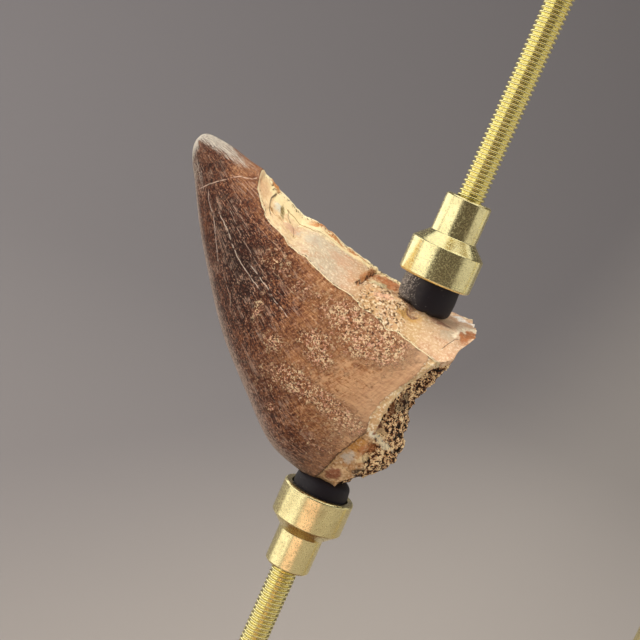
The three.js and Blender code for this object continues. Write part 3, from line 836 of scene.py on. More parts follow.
def joinEnds(values):  # a grid's values as one list, with one more for the point at either end
    width = values.shape[2:] or ()
    first, last = values[0].mean(0), values[-1].mean(0)
    return np.concatenate([first.reshape(1, *width), values.reshape(-1, *width), last.reshape(1, *width)])


def toneOf(share, degrees):  # how light the enamel is: dark behind the tip, tan towards the root; lighter on the upper side and darkest low on the front, partly its own tone and partly painted top light and shade
    rising = smooth(0.28, 1.0, share)
    upperSide = 1 - smooth(94, 136, degrees)
    early = smooth(0.26, 0.12, share)
    beside = (1 - smooth(58 - 10 * early, 98 - 26 * early, degrees)) * smooth(0.07, 0.2, share)
    lower = smooth(0.45, 0.6, share) * smooth(98, 112, degrees) * smooth(140, 122, degrees)
    tone = 0.09 + rising * (0.16 + 0.8 * upperSide) + 0.43 * beside * (1 - rising) + 0.16 * lower
    # a lighter band low on the front towards the tip: painted sheen
    tone += 0.12 * mound(degrees, 134, 15) * smooth(0.1, 0.2, share) * smooth(0.62, 0.5, share)
    tone += 0.14 * smooth(0.3, 0.1, share) + 0.27 * smooth(0.78, 0.92, share) * smooth(175, 120, degrees)
    tone += 0.16 * mound(share, 0.48, 0.12) * smooth(72, 58, degrees)
    tone += 0.13 * smooth(0.46, 0.58, share) * smooth(58, 72, degrees) * smooth(172, 150, degrees)
    tone -= 0.24 * mound(share, 0.36, 0.13) * mound(degrees, 109, 24)
    return np.where(degrees > 180, 0.25 + 0.5 * rising, tone)


def wornOf(share, degrees):  # pale worn tip and the upper edge just behind it
    fromTop = np.minimum(degrees, 360 - degrees)
    reach = 74 - 190 * share
    top = 0.7 * smooth(0.3, 0.1, share) * smooth(reach + 16, reach - 16, fromTop)
    top *= 1 - 0.6 * smooth(0.09, 0.14, share) * smooth(30, 14, fromTop)
    under = 0.28 * smooth(0.2, 0.08, share) * smooth(96, 126, degrees) * smooth(240, 200, degrees)
    end = 0.8 * smooth(0.055, 0.012, share) * smooth(84, 98, degrees) * smooth(230, 190, degrees)
    return np.maximum(top, under) + smooth(0.025, 0.0, share) * 0.7 + end


def grainOf(skin):  # how thick the crystals lie
    x, y, z = skin[..., 0], skin[..., 1], skin[..., 2]
    total = np.zeros(x.shape)
    for (centreX, centreZ), (halfX, halfZ), amount in grainSpots:
        total += amount * np.exp(-((x - centreX) / halfX / 1.15) ** 2 - ((z - centreZ) / halfZ / 1.15) ** 2)
    behind = 0.06 + 0.26 * lumps(skin, 5.0, 31)
    return np.where(y < 1, np.minimum(total, 1.2), np.clip(behind, 0, 1))


# The tooth's finish

toothFinish = {
    "enamel": [(0.0, "2b140c"), (0.14, "462015"), (0.3, "673823"), (0.48, "865234"), (0.66, "a06b44"),
               (0.84, "ba8355"), (1.0, "d4a478")],
    "streakDark": "34201a",
    "streakPale": "e6c4aa",
    "speckPale": "e9be9e",
    "speckDark": "2c1814",
    "hatch": "96552c",
    "crystalPale": "ffe2b4",
    "crystalPink": "eeb496",
    "crystalDark": "3f2016",
    "crystalRed": "a96540",
    "worn": "ded3c2",
    # colour of the painted sheen at the lower edge
    "marginSheen": "d8c3b2",
    "faded": "e9c3a0",
    "dentine": [(0.0, "eecb98"), (0.1, "f2d3a2"), (0.2, "e0c294"), (0.28, "cab697"), (0.38, "c0ac91"),
                (0.46, "c09c7c"), (0.55, "c09662"), (0.66, "c8a276"), (0.74, "cca674"), (0.8, "dab58c"),
                (0.92, "d6ac88"), (1.0, "d4ae8c")],
    "dentineShade": "c48e68",
    "dentineGlint": "fff0d0",
    "dentineEdge": "fdeec2",
    "dentineBand": "fbe6b0",
    "dentineBack": "c27a38",
    "dentineDark": "4a2e18",
    "rim": "dfc090",
    "rimTan": "d8ac7a",
    "rimPale": "fae8c8",
    "rimLow": "b07a4a",
    "rimDark": "6e4426",
    "lineDark": "3a2014",
    "spongeDark": "1a0f08",
    "spongeBrown": "6a3a1c",
    "spongeTan": "d0864a",
    "spongePale": "ffe2b0",
    "spongeRed": "7d3f24",
}


def tinted(tree, color, finish, amount):
    return mixColors(tree, amount, color, paint(toothFinish[finish]))


def makeEnamelLook():
    tree, inputs, outputs = newGroup(
        "enamelLook",
        [("Place", "Vector", (0, 0, 0)), ("Fan", "Vector", (0, 0, 0)), ("Tone", "Float", 0.3),
         ("Worn", "Float", 0.0), ("Grain", "Float", 0.0), ("Margin", "Float", 0.0), ("Fading", "Float", 0.0)],
        [("Color", "Color"), ("Roughness", "Float"), ("Height", "Float")],
    )
    place, fan = inputs["Place"], inputs["Fan"]
    blotch = noiseOf(tree, place, 0.3, 4.0, 0.62, 0.6)
    streak = noiseOf(tree, fan, 2.4, 4.0, 0.7)
    fineStreak = noiseOf(tree, fan, 8.0, 2.0, 0.75)
    dashPlace = stretched(tree, fan, (1, 1, 2.6))
    ringPlace = stretched(tree, fan, (0.4, 0.4, 8.0))
    hairPlace = stretched(tree, fan, (1, 1, 0.5))
    dashes = noiseOf(tree, dashPlace, 7.0, 1.0, 0.8)
    rings = noiseOf(tree, ringPlace, 4.2, 2.0, 0.75)
    speckle = scaleAdd(tree, noiseOf(tree, place, 4.6, 1.0, 0.8), 0.4, minus(tree, dashes, 0.2))
    mottle = noiseOf(tree, place, 1.2, 4.0, 0.75)
    tone = inputs["Tone"]
    deep = between(tree, inputs["Tone"], 0.75, 0.2)
    specked = scaleAdd(tree, deep, 0.8, 0.35)
    patterns = ((blotch, 0.5), (streak, 0.6), (fineStreak, 1.3), (mottle, 0.6), (speckle, specked),
                (rings, 1.2))
    for pattern, amount in patterns:
        tone = nudged(tree, tone, pattern, amount)
    color = rampOf(tree, tone, toothFinish["enamel"])
    # pale hairs that follow the crown, a few dark ones, and fine specks
    patches = between(tree, noiseOf(tree, place, 0.7, 3.0), 0.44, 0.6)
    shown = times(tree, patches, between(tree, inputs["Tone"], 1.1, 0.4))
    for scale, amount in ((1.5, 0.4), (2.6, 0.3)):
        off = calc(tree, "ABSOLUTE", minus(tree, noiseOf(tree, hairPlace, scale, 1.0), 0.5))
        hair = times(tree, between(tree, off, 0.035, 0.0), shown)
        color = tinted(tree, color, "streakPale", times(tree, hair, amount))
    darkLine = times(tree, between(tree, noiseOf(tree, fan, 6.0, 2.0, 0.6), 0.42, 0.34), 0.35, deep)
    color = tinted(tree, color, "streakDark", darkLine)
    patchy = scaleAdd(tree, between(tree, blotch, 0.35, 0.65), 0.25, 0.3)
    patchy = times(tree, patchy, between(tree, inputs["Tone"], 1.3, 0.2))
    paleSpeck = times(tree, between(tree, speckle, 0.58, 0.72), patchy)
    color = tinted(tree, color, "speckPale", paleSpeck)
    darkSpeck = times(tree, between(tree, speckle, 0.45, 0.3), scaleAdd(tree, deep, 0.5, 0.1))
    color = tinted(tree, color, "speckDark", darkSpeck)
    # fine cross hatching where the enamel is light
    across = between(tree, noiseOf(tree, ringPlace, 2.3, 2.0, 0.7), 0.51, 0.4)
    along = between(tree, noiseOf(tree, fan, 4.6, 2.0, 0.7), 0.51, 0.4)
    hatch = times(tree, plus(tree, across, along), between(tree, inputs["Tone"], 0.45, 0.8))
    color = tinted(tree, color, "hatch", times(tree, hatch, 0.23))
    # crystals: clumps of pale and dark grains on reddish ground
    crystals = cellsOf(tree, shakenOf(tree, place, 3.6, 0.5), 5.0)
    crumbs = noiseOf(tree, place, 2.9, 2.5, 0.85)
    uneven = scaleAdd(tree, noiseOf(tree, place, 1.1, 4.0, 0.8), 1.9, -0.65)
    thick = between(tree, plus(tree, uneven, inputs["Grain"]), 0.4, 1.0)
    level = scaleAdd(tree, thick, -0.36, 0.95)
    pale = between(tree, crystals, level, plus(tree, level, 0.1))
    dark = between(tree, crystals, scaleAdd(tree, thick, 0.28, 0.04), 0.0)
    flushed = times(tree, thick, 0.45)
    color = tinted(tree, color, "crystalRed", flushed)
    darkness = scaleAdd(tree, thick, 0.75, 0.05)
    color = tinted(tree, color, "crystalDark", times(tree, dark, darkness))
    paleness = times(tree, pale, scaleAdd(tree, thick, 0.62, 0.32))
    paleColor = mixColors(tree, between(tree, mottle, 0.4, 0.56), paint(toothFinish["crystalPink"]),
                          paint(toothFinish["crystalPale"]))
    color = mixColors(tree, paleness, color, paleColor)
    # painted sheen with bright specks at the lower edge, worn streaks at the tip, pinkish cream towards the
    # upper root corner
    lit = between(tree, scaleAdd(tree, inputs["Margin"], 0.22, speckle), 0.56, 0.72)
    haze = times(tree, inputs["Margin"], scaleAdd(tree, lit, 0.6, 0.12))
    color = tinted(tree, color, "marginSheen", haze)
    washed = times(tree, inputs["Fading"], scaleAdd(tree, fineStreak, 0.8, 0.4))
    color = tinted(tree, color, "faded", washed)
    scuffed = plus(tree, inputs["Worn"], scaleAdd(tree, streak, 1.6, -0.8))
    scuffed = plus(tree, scuffed, scaleAdd(tree, fineStreak, 3.0, -1.5))
    scuffed = plus(tree, scuffed, scaleAdd(tree, speckle, 0.9, -0.45))
    scuff = times(tree, between(tree, scuffed, 0.3, 0.75), between(tree, inputs["Worn"], 0.0, 0.3))
    color = tinted(tree, color, "worn", scuff)
    rough = scaleAdd(tree, pale, 0.12, scaleAdd(tree, fineStreak, 0.25, 0.32))
    height = scaleAdd(tree, streak, 0.5, times(tree, fineStreak, 0.8))
    height = scaleAdd(tree, crumbs, scaleAdd(tree, thick, 2.2, 0.3), height)
    height = scaleAdd(tree, crystals, times(tree, thick, 2.0), height)
    height = scaleAdd(tree, speckle, 0.9, scaleAdd(tree, rings, 0.7, height))
    wire(tree, outputs, {"Color": color, "Roughness": rough, "Height": height})
    return tree


def makeDentineLook():
    tree, inputs, outputs = newGroup(
        "dentineLook",
        [("Place", "Vector", (0, 0, 0)), ("Edge", "Float", 1.0), ("Backness", "Float", 0.0)],
        [("Color", "Color"), ("Roughness", "Float"), ("Height", "Float")],
    )
    place = inputs["Place"]
    axes = axesOf(tree, place)
    cloud = noiseOf(tree, place, 0.5, 4.0, 0.65, 0.5)
    fine = noiseOf(tree, place, 2.4, 3.0, 0.75)
    lengthwise = calc(tree, "DIVIDE", plus(tree, axes["X"], 29.0), 38.5)
    shifted = nudged(tree, lengthwise, cloud, 0.16)
    color = rampOf(tree, shifted, toothFinish["dentine"])
    shade = times(tree, between(tree, cloud, 0.48, 0.66), 0.6)
    color = tinted(tree, color, "dentineShade", shade)
    glint = times(tree, between(tree, fine, 0.5, 0.66), 0.5)
    color = tinted(tree, color, "dentineGlint", glint)
    dim = times(tree, between(tree, fine, 0.46, 0.32), 0.5)
    color = tinted(tree, color, "dentineShade", dim)
    # yellowish band, then orange behind it in places, where the face thins out
    behind = nudged(tree, inputs["Backness"], fine, 1.2)
    band = times(tree, between(tree, behind, -1.6, -0.5), between(tree, axes["X"], -1.0, -5.0))
    color = tinted(tree, color, "dentineBand", times(tree, band, 0.7))
    orange = times(tree, between(tree, axes["X"], -20.5, -18.5), between(tree, axes["X"], -8.5, -10.5))
    broken = between(tree, noiseOf(tree, place, 0.7, 3.0), 0.38, 0.52)
    orange = times(tree, orange, broken, between(tree, behind, -0.05, 0.3), 0.9)
    color = tinted(tree, color, "dentineBack", orange)
    # bright line next to the enamel, then a belt of specks
    edge = nudged(tree, inputs["Edge"], fine, 0.8)
    bright = between(tree, edge, 0.75, 0.3)
    color = tinted(tree, color, "dentineEdge", times(tree, bright, 0.85))
    belt = times(tree, between(tree, edge, 0.2, 0.6), between(tree, edge, 2.0, 1.1))
    grainy = between(tree, noiseOf(tree, place, 0.8, 2.0), 0.36, 0.52)
    middle = times(tree, between(tree, axes["X"], -9.6, -8.8), between(tree, axes["X"], -1.0, -2.6), grainy)
    speckled = calc(tree, "MAXIMUM", times(tree, belt, 0.8), middle)
    grit = noiseOf(tree, place, 2.7, 1.5, 0.75)
    limit = scaleAdd(tree, speckled, 0.2, 0.27)
    specks = between(tree, grit, limit, minus(tree, limit, 0.07))
    color = tinted(tree, color, "dentineDark", times(tree, specks, 0.9))
    sparks = scaleAdd(tree, speckled, 0.4, 0.2)
    sparks = times(tree, between(tree, grit, 0.55, 0.64), sparks)
    color = tinted(tree, color, "dentineGlint", sparks)
    height = minus(tree, times(tree, fine, 0.8), times(tree, specks, 1.1))
    height = scaleAdd(tree, grit, times(tree, speckled, 1.5), height)
    wire(tree, outputs, {"Color": color, "Roughness": scaleAdd(tree, fine, 0.2, 0.34), "Height": height})
    return tree


def makeSpongeLook():
    tree, inputs, outputs = newGroup(
        "spongeLook",
        [("Place", "Vector", (0, 0, 0)), ("Edge", "Float", 1.0)],
        [("Color", "Color"), ("Roughness", "Float"), ("Height", "Float")],
    )
    place = inputs["Place"]
    coarse = noiseOf(tree, place, 0.5, 3.0, 0.6, 0.4)
    pores = noiseOf(tree, place, 1.2, 3.0, 0.75, 0.5)
    grains = noiseOf(tree, place, 2.0, 2.5, 0.8)
    value = scaleAdd(tree, grains, 0.8, times(tree, pores, 0.5))
    nearRim = between(tree, inputs["Edge"], 2.2, 0.0)
    value = scaleAdd(tree, nearRim, 0.03, value)
    color = rampOf(tree, nudged(tree, value, coarse, 0.22), [
        (0.604, toothFinish["spongeDark"]), (0.642, toothFinish["spongeBrown"]),
        (0.662, toothFinish["spongeTan"]), (0.69, toothFinish["spongePale"]),
    ])
    red = between(tree, noiseOf(tree, place, 0.8, 2.0), 0.58, 0.68)
    color = tinted(tree, color, "spongeRed", times(tree, red, 0.35))
    height = times(tree, value, 3.6)
    wire(tree, outputs, {"Color": color, "Roughness": scaleAdd(tree, grains, 0.3, 0.4), "Height": height})
    return tree


def makeToothMaterial(centre):
    material, tree, shader = newMaterial("fossilTooth")
    place = millimetres(tree, centre)
    fine = noiseOf(tree, place, 2.6, 4.0, 0.65)
    ragged = minus(tree, fine, 0.5)
    low = attributeOf(tree, "lowFlake")
    enamelEdge, chipEdge = attributeOf(tree, "enamelEdge"), attributeOf(tree, "chipEdge")
    fade = between(tree, scaleAdd(tree, ragged, 2.0, enamelEdge), -5.0, -0.8)
    fading = times(tree, fade, scaleAdd(tree, attributeOf(tree, "fading"), 0.75, 0.2))
    enamel = useGroup(tree, makeEnamelLook(), {
        "Place": place, "Fan": attributeOf(tree, "fan", "Vector"), "Tone": attributeOf(tree, "tone"),
        "Worn": attributeOf(tree, "worn"), "Grain": attributeOf(tree, "grain"),
        "Margin": attributeOf(tree, "marginSheen"), "Fading": fading,
    })
    dentine = useGroup(tree, makeDentineLook(), {
        "Place": place, "Edge": chipEdge, "Backness": attributeOf(tree, "backness"),
    })
    sponge = useGroup(tree, makeSpongeLook(), {"Place": place, "Edge": attributeOf(tree, "rootEdge")})

    # broken rim: cream, browner low down
    cloud = noiseOf(tree, place, 1.1, 3.0)
    rimColor = mixColors(tree, between(tree, cloud, 0.42, 0.62), paint(toothFinish["rim"]),
                         paint(toothFinish["rimTan"]))
    rimColor = tinted(tree, rimColor, "rimPale", between(tree, fine, 0.52, 0.64))
    rimColor = tinted(tree, rimColor, "rimLow", times(tree, low, 0.55))
    crumbs = noiseOf(tree, place, 2.6, 1.5, 0.75)
    pits = times(tree, between(tree, crumbs, 0.42, 0.3), scaleAdd(tree, low, 0.6, 0.3))
    rimColor = tinted(tree, rimColor, "rimDark", pits)
    rimColor = mixColors(tree, times(tree, between(tree, crumbs, 0.56, 0.7), 0.35), rimColor,
                         paint(toothFinish["rimPale"]))

    # which stuff shows: enamel, chipped dentine, rim or spongy root
    chipLine = scaleAdd(tree, ragged, 0.35, chipEdge)
    rimLine = scaleAdd(tree, ragged, 0.9, enamelEdge)
    rootLine = scaleAdd(tree, ragged, 1.4, attributeOf(tree, "rootEdge"))
    chipMask = between(tree, chipLine, -0.05, 0.05)
    rimMask = between(tree, rimLine, -0.06, 0.06)
    rootMask = between(tree, rootLine, -0.08, 0.1)
    bare = mixColors(tree, chipMask, rimColor, dentine["Color"])
    bare = mixColors(tree, rootMask, bare, sponge["Color"])
    # stain colours laid over the bare tooth; two of them are painted shadow round the upper pad
    wobble = scaleAdd(tree, ragged, 1.6, attributeOf(tree, "stainShadowDepth"))
    stainAndShadow = times(tree, between(tree, wobble, -0.1, 0.45), attributeOf(tree, "stainShadowStrength"))
    mottled = mixColors(tree, times(tree, between(tree, crumbs, 0.5, 0.66), 0.5),
                        attributeOf(tree, "stainShadowColour", "Color"), bare)
    mottled = mixColors(tree, times(tree, between(tree, crumbs, 0.44, 0.3), 0.4), mottled,
                        paint(toothFinish["rimDark"]))
    bare = mixColors(tree, stainAndShadow, bare, mottled)
    bareMask = calc(tree, "MAXIMUM", calc(tree, "MAXIMUM", chipMask, rimMask), rootMask)
    color = mixColors(tree, bareMask, enamel["Color"], bare)

    # cracks, a painted shadow line below the step where the enamel breaks off low down, and a dark line along
    # the chipped face's edge
    for name, (face, code, width, amount, _) in cracks.items():
        mask = useGroup(tree, hairline, {
            "Distance": attributeOf(tree, name), "Place": place, "Width": width, "Wander": 0.3,
            "Breaks": 0.42 if face == "front" else 0.2,
        })["Mask"]
        only = minus(tree, 1.0, bareMask) if face == "front" else chipMask
        color = mixColors(tree, times(tree, mask, only, amount), color, paint(code))
    notChip = minus(tree, 1.0, chipMask)
    # painted shadow under the low enamel step
    lowStepShadow = times(tree, between(tree, calc(tree, "ABSOLUTE", rimLine), 0.2, 0.05), low)
    topLine = between(tree, calc(tree, "ABSOLUTE", plus(tree, chipLine, 0.12)), 0.12, 0.03)
    topLine = times(tree, topLine, between(tree, cloud, 0.5, 0.62))
    edgeDark = calc(tree, "MAXIMUM", times(tree, lowStepShadow, notChip), topLine)
    color = tinted(tree, color, "lineDark", times(tree, edgeDark, 0.7))

    def layered(kind, rimValue):
        value = enamel[kind]
        for mask, over in ((rimMask, rimValue), (chipMask, dentine[kind]), (rootMask, sponge[kind])):
            values = {0: mask, 2: value, 3: over}
            value = addNode(tree, "ShaderNodeMix", values, data_type="FLOAT").outputs[0]
        return value

    wire(tree, shader.inputs, {
        "Base Color": color,
        "Roughness": layered("Roughness", 0.5),
        "Specular IOR Level": 0.3,
        "Normal": bumpOf(tree, layered("Height", crumbs), 0.85, 0.17),
    })
    return material


toothPoints, toothFaces, toothAttributes = buildTooth()
toothBottom = boxOf("tooth")[0][2]
toothCentre = np.array([boxOf("clamp_screw")[2][0], 0, toothBottom - toothPoints[:, 2].min()])
toothMesh = meshOf("tooth_skin", toothPoints + toothCentre, toothFaces, toothAttributes)
addPiece("tooth_skin", toothMesh, ["tooth"], makeToothMaterial(toothCentre))

# Rubber pads, pressed to the tooth

padShape = {
    "sides": 112, "rings": 30, "walls": 14, "fillet": 1.25,
    "clear": 0.04, "press": 0.3,  # gap left at the tooth, and how far the upper pad is pressed down round it
    "bulge": 0.08, "bulgeReach": 2.2, "seatShare": 0.9, "rayStart": 4.0,
    "dust": {"upper_pad": 1.0, "lower_pad": 0.12},
}


def makePad(name, node, facing):  # facing is 1 where the pad's working end looks up, else -1
    low, high, centre = boxOf(node)
    radius, fillet = (high[0] - low[0]) / 2, padShape["fillet"]
    free, seat = (high[2], low[2]) if facing > 0 else (low[2] - padShape["press"], high[2])
    tree = BVHTree.FromPolygons((toothPoints + toothCentre).tolist(), toothFaces)
    shares = np.sin(np.arange(1, padShape["rings"] + 1) / padShape["rings"] * math.pi / 2)

    def workingHeight(x, y, share):
        edge = max(share - (1 - fillet / radius), 0) * radius / fillet
        drop = fillet * (1 - math.sqrt(max(1 - edge ** 2, 0)))
        height = free - facing * drop
        hit = tree.ray_cast(Vector((x, y, seat - facing * padShape["rayStart"])), Vector((0, 0, facing)))[0]
        if hit is not None:
            limit = hit.z - facing * padShape["clear"]
            height = min(height, limit) if facing > 0 else limit + drop
        return height

    points = [(centre[0], centre[1], workingHeight(centre[0], centre[1], 0))]
    for share in shares:
        ring = ringAt(centre, radius * share, 0, anglesOf(padShape["sides"]))
        points += [(x, y, workingHeight(x, y, share)) for x, y, _ in ring]
    edge, walls = points[-padShape["sides"]:], padShape["walls"]
    down = np.minimum(np.arange(1, walls + 1) / walls * padShape["bulgeReach"], 1)
    scales = 1 + padShape["bulge"] / radius * np.sin(down * math.pi)
    for wall, scale in enumerate([*scales, padShape["seatShare"]], 1):
        points += [(centre[0] + (x - centre[0]) * scale, centre[1] + (y - centre[1]) * scale,
                    z + (seat - z) * min(wall / walls, 1)) for x, y, z in edge]
    points.append((centre[0], centre[1], seat))
    mesh = meshOf(name, points, ringFaces(padShape["rings"] + walls + 1, padShape["sides"], flip=facing < 0))
    addPiece(name, mesh, [node], makeRubber(name + "_rubber", centre, padShape["dust"][node]))


makePad("upper_pad_rubber", "upper_pad", -1)
makePad("lower_pad_rubber", "lower_pad", 1)

# Turned brass cups

cupShape = {
    "wideLength": 5.17, "coneLength": 1.67, "neck": 6.85, "edge": 0.25, "socket": 8.8, "socketDepth": 3.0,
    "bore": 4.6, "boreDepth": 6.0, "round": 0.1, "sides": 160,
    "brass": {"tarnished": 0.25, "roughness": 0.15, "markDepth": 0.02, "anisotropy": 0.55},
}


def makeCup(name, node, facing):
    low, high, centre = boxOf(node)
    rim = low[2] if facing < 0 else high[2]
    wide, neck, socket = (high[0] - low[0]) / 2, cupShape["neck"] / 2, cupShape["socket"] / 2
    length, edge, wideEnd = high[2] - low[2], cupShape["edge"], cupShape["wideLength"]
    bore, boreEnd, depth = cupShape["bore"] / 2, length - cupShape["boreDepth"], cupShape["socketDepth"]
    profile = softened([
        (0, depth), (socket, depth), (socket, 0), (wide - edge, 0), (wide, edge),
        (wide, wideEnd - edge * 0.6), (wide - edge * 0.6, wideEnd), (neck, wideEnd + cupShape["coneLength"]),
        (neck, length - edge), (neck - edge, length), (bore, length), (bore, boreEnd), (0, boreEnd),
    ], cupShape["round"])
    points = [(radius, rim - facing * height) for radius, height in profile]
    mesh = turnedMesh(name, points, centre, cupShape["sides"])
    if facing > 0:
        mesh.flip_normals()
    addPiece(name, mesh, [node], makeBrass(name + "_brass", centre, **cupShape["brass"]))


makeCup("upper_cup_turned", "upper_cup", -1)
makeCup("lower_cup_turned", "lower_cup", 1)

# Threaded rods by Geometry Nodes: rows that climb with the thread, welded and capped

threadShape = {
    "pitch": 0.7, "depth": 0.37, "segments": 44, "rowsPerTurn": 10, "runOut": 0.8, "weld": 0.002,
    "brass": {"tarnished": 0.03, "roughness": 0.16, "markDepth": 0.01, "bright": "rolled"},
}


def finishTree(tree, geometry, place, inputs, outputs):  # from millimetres to the piece's place, in metres
    scale = joinAxes(tree, *[inputs["Unit"]] * 3)
    placed = addNode(tree, "GeometryNodeTransform", {
        "Geometry": geometry, "Scale": scale, "Translation": place,
    }).outputs[0]
    real = addNode(tree, "GeometryNodeRealizeInstances", {"Geometry": placed}).outputs[0]
    smoothed = addNode(tree, "GeometryNodeSetShadeSmooth", {"Geometry": real}).outputs[0]
    painted = addNode(tree, "GeometryNodeSetMaterial", {"Geometry": smoothed, "Material": inputs["Material"]})
    wire(tree, outputs, {"Geometry": painted.outputs[0]})


def makeThreadTree():
    tree, inputs, outputs = newGroup("machineThread", [
        ("Pitch", "Float", 0.7), ("Radius", "Float", 2.0), ("Depth", "Float", 0.37), ("Bottom", "Float", 0.0),
        ("Top", "Float", 10.0), ("Run Out", "Float", 0.8), ("Segments", "Int", 44),
        ("Rows Per Turn", "Int", 10), ("Axis", "Vector", (0, 0, 0)), ("Unit", "Float", mm),
        ("Material", "Material", None),
    ], [("Geometry", "Geometry")], "GeometryNodeTree")
    length = minus(tree, inputs["Top"], inputs["Bottom"])
    turns = plus(tree, calc(tree, "CEIL", calc(tree, "DIVIDE", length, inputs["Pitch"])), 1.0)
    rows = times(tree, turns, inputs["Rows Per Turn"])
    grid = addNode(tree, "GeometryNodeMeshGrid", {
        "Size X": rows, "Size Y": inputs["Segments"], "Vertices X": plus(tree, rows, 1.0),
        "Vertices Y": plus(tree, inputs["Segments"], 1.0),
    }).outputs["Mesh"]
    at = axesOf(tree, addNode(tree, "GeometryNodeInputPosition").outputs[0])
    row = plus(tree, at["X"], calc(tree, "DIVIDE", rows, 2.0))
    column = plus(tree, at["Y"], calc(tree, "DIVIDE", inputs["Segments"], 2.0))
    part = calc(tree, "DIVIDE", column, inputs["Segments"])
    turn = calc(tree, "DIVIDE", row, inputs["Rows Per Turn"])
    climb = minus(tree, plus(tree, turn, part), 1.0)
    free = scaleAdd(tree, climb, inputs["Pitch"], inputs["Bottom"])
    height = calc(tree, "MINIMUM", calc(tree, "MAXIMUM", free, inputs["Bottom"]), inputs["Top"])
    # crest at the start of each turn's rows, root half a pitch on
    phase = calc(tree, "FRACT", plus(tree, turn, 0.001))
    crest = between(tree, calc(tree, "ABSOLUTE", minus(tree, phase, 0.5)), 0.07, 0.38)
    room = times(tree, inputs["Run Out"], inputs["Pitch"])
    fromLow = calc(tree, "DIVIDE", minus(tree, height, inputs["Bottom"]), room)
    fromTop = calc(tree, "DIVIDE", minus(tree, inputs["Top"], height), room)
    ends = calc(tree, "MINIMUM", calc(tree, "MINIMUM", fromLow, fromTop), 1.0)
    cut = minus(tree, 1.0, times(tree, crest, ends))
    radius = minus(tree, inputs["Radius"], times(tree, inputs["Depth"], cut))
    angle = times(tree, part, 2 * math.pi)
    x, y = (times(tree, radius, calc(tree, operation, angle)) for operation in ("COSINE", "SINE"))
    spot = joinAxes(tree, x, y, height)
    wound = addNode(tree, "GeometryNodeSetPosition", {"Geometry": grid, "Position": spot}).outputs[0]
    caps = []
    for end in ("Bottom", "Top"):
        disc = addNode(tree, "GeometryNodeMeshCircle", {
            "Vertices": inputs["Segments"], "Radius": minus(tree, inputs["Radius"], inputs["Depth"]),
        }, fill_type="NGON").outputs[0]
        lift = joinAxes(tree, 0.0, 0.0, inputs[end])
        placed = addNode(tree, "GeometryNodeTransform", {"Geometry": disc, "Translation": lift}).outputs[0]
        if end == "Bottom":
            placed = addNode(tree, "GeometryNodeFlipFaces", {"Mesh": placed}).outputs[0]
        caps.append(placed)
    joined = addNode(tree, "GeometryNodeJoinGeometry")
    for surface in (wound, *caps):
        tree.links.new(surface, joined.inputs[0])
    welded = addNode(tree, "GeometryNodeMergeByDistance", {
        "Geometry": joined.outputs[0], "Distance": threadShape["weld"],
    })
    finishTree(tree, welded.outputs[0], inputs["Axis"], inputs, outputs)
    return tree


def runTree(name, tree, values, start=None):  # the tree's result as a plain mesh
    host = placeObject(name + "_host", start or bpy.data.meshes.new(name + "_host"))
    modifier = host.modifiers.new("nodes", "NODES")
    modifier.node_group = tree
    for item in tree.interface.items_tree:
        if item.item_type == "SOCKET" and item.in_out == "INPUT" and item.name in values:
            modifier[item.identifier] = values[item.name]
    graph = bpy.context.evaluated_depsgraph_get()
    mesh = bpy.data.meshes.new_from_object(host.evaluated_get(graph))
    host.modifiers.remove(modifier)
    bpy.data.objects.remove(host)
    mesh.name = name
    return mesh


threadTree = makeThreadTree()


def makeRod(name, node):
    low, high, centre = boxOf(node)
    finish = makeBrass(name + "_brass", centre, **threadShape["brass"])
    mesh = runTree(name, threadTree, {
        "Pitch": threadShape["pitch"], "Radius": float(high[0] - low[0]) / 2, "Depth": threadShape["depth"],
        "Bottom": float(low[2]), "Top": float(high[2]), "Run Out": threadShape["runOut"],
        "Segments": threadShape["segments"], "Rows Per Turn": threadShape["rowsPerTurn"],
        "Axis": (float(centre[0]) * mm, float(centre[1]) * mm, 0.0), "Unit": mm, "Material": finish,
    })
    addPiece(name, mesh, [node], finish)


makeRod("clamp_screw_thread", "clamp_screw")
makeRod("lower_rod_thread", "lower_rod")

# Knurled knob by Geometry Nodes: a turned shape whose grip is pressed in by the teeth

knobShape = {
    "teeth": 30, "toothDepth": 0.45, "chamfer": 0.7, "hub": 9.0, "hubHeight": 3.0, "bore": 4.6, "roof": 2.0,
    "dish": 12.0, "dishDepth": 0.35, "dishEdge": 0.5, "round": 0.15, "sides": 360,
    "brass": {"tarnished": 0.25, "roughness": 0.18, "markDepth": 0.02, "anisotropy": 0.55},
}


def makeKnobTree():
    tree, inputs, outputs = newGroup("knurledKnob", [
        ("Geometry", "Geometry", None), ("Teeth", "Int", 30), ("Tooth Depth", "Float", 0.45),
        ("Chamfer", "Float", 0.7), ("Grip Radius", "Float", 8.5), ("Place", "Vector", (0, 0, 0)),
        ("Unit", "Float", mm), ("Material", "Material", None),
    ], [("Geometry", "Geometry")], "GeometryNodeTree")
    at = axesOf(tree, addNode(tree, "GeometryNodeInputPosition").outputs[0])
    angle = calc(tree, "ARCTAN2", at["Y"], at["X"])
    wave = calc(tree, "COSINE", times(tree, angle, inputs["Teeth"]))
    groove = calc(tree, "POWER", scaleAdd(tree, wave, -0.5, 0.5), 0.7)
    squares = scaleAdd(tree, at["X"], at["X"], times(tree, at["Y"], at["Y"]))
    outer = calc(tree, "SQRT", squares)
    gripStart = minus(tree, inputs["Grip Radius"], inputs["Chamfer"])
    onGrip = between(tree, outer, gripStart, inputs["Grip Radius"])
    pressed = times(tree, groove, onGrip, inputs["Tooth Depth"])
    shrink = minus(tree, 1.0, calc(tree, "DIVIDE", pressed, calc(tree, "MAXIMUM", outer, 0.001)))
    moved = joinAxes(tree, times(tree, at["X"], shrink), times(tree, at["Y"], shrink), at["Z"])
    knurled = addNode(tree, "GeometryNodeSetPosition", {"Geometry": inputs["Geometry"], "Position": moved})
    finishTree(tree, knurled.outputs[0], inputs["Place"], inputs, outputs)
    return tree


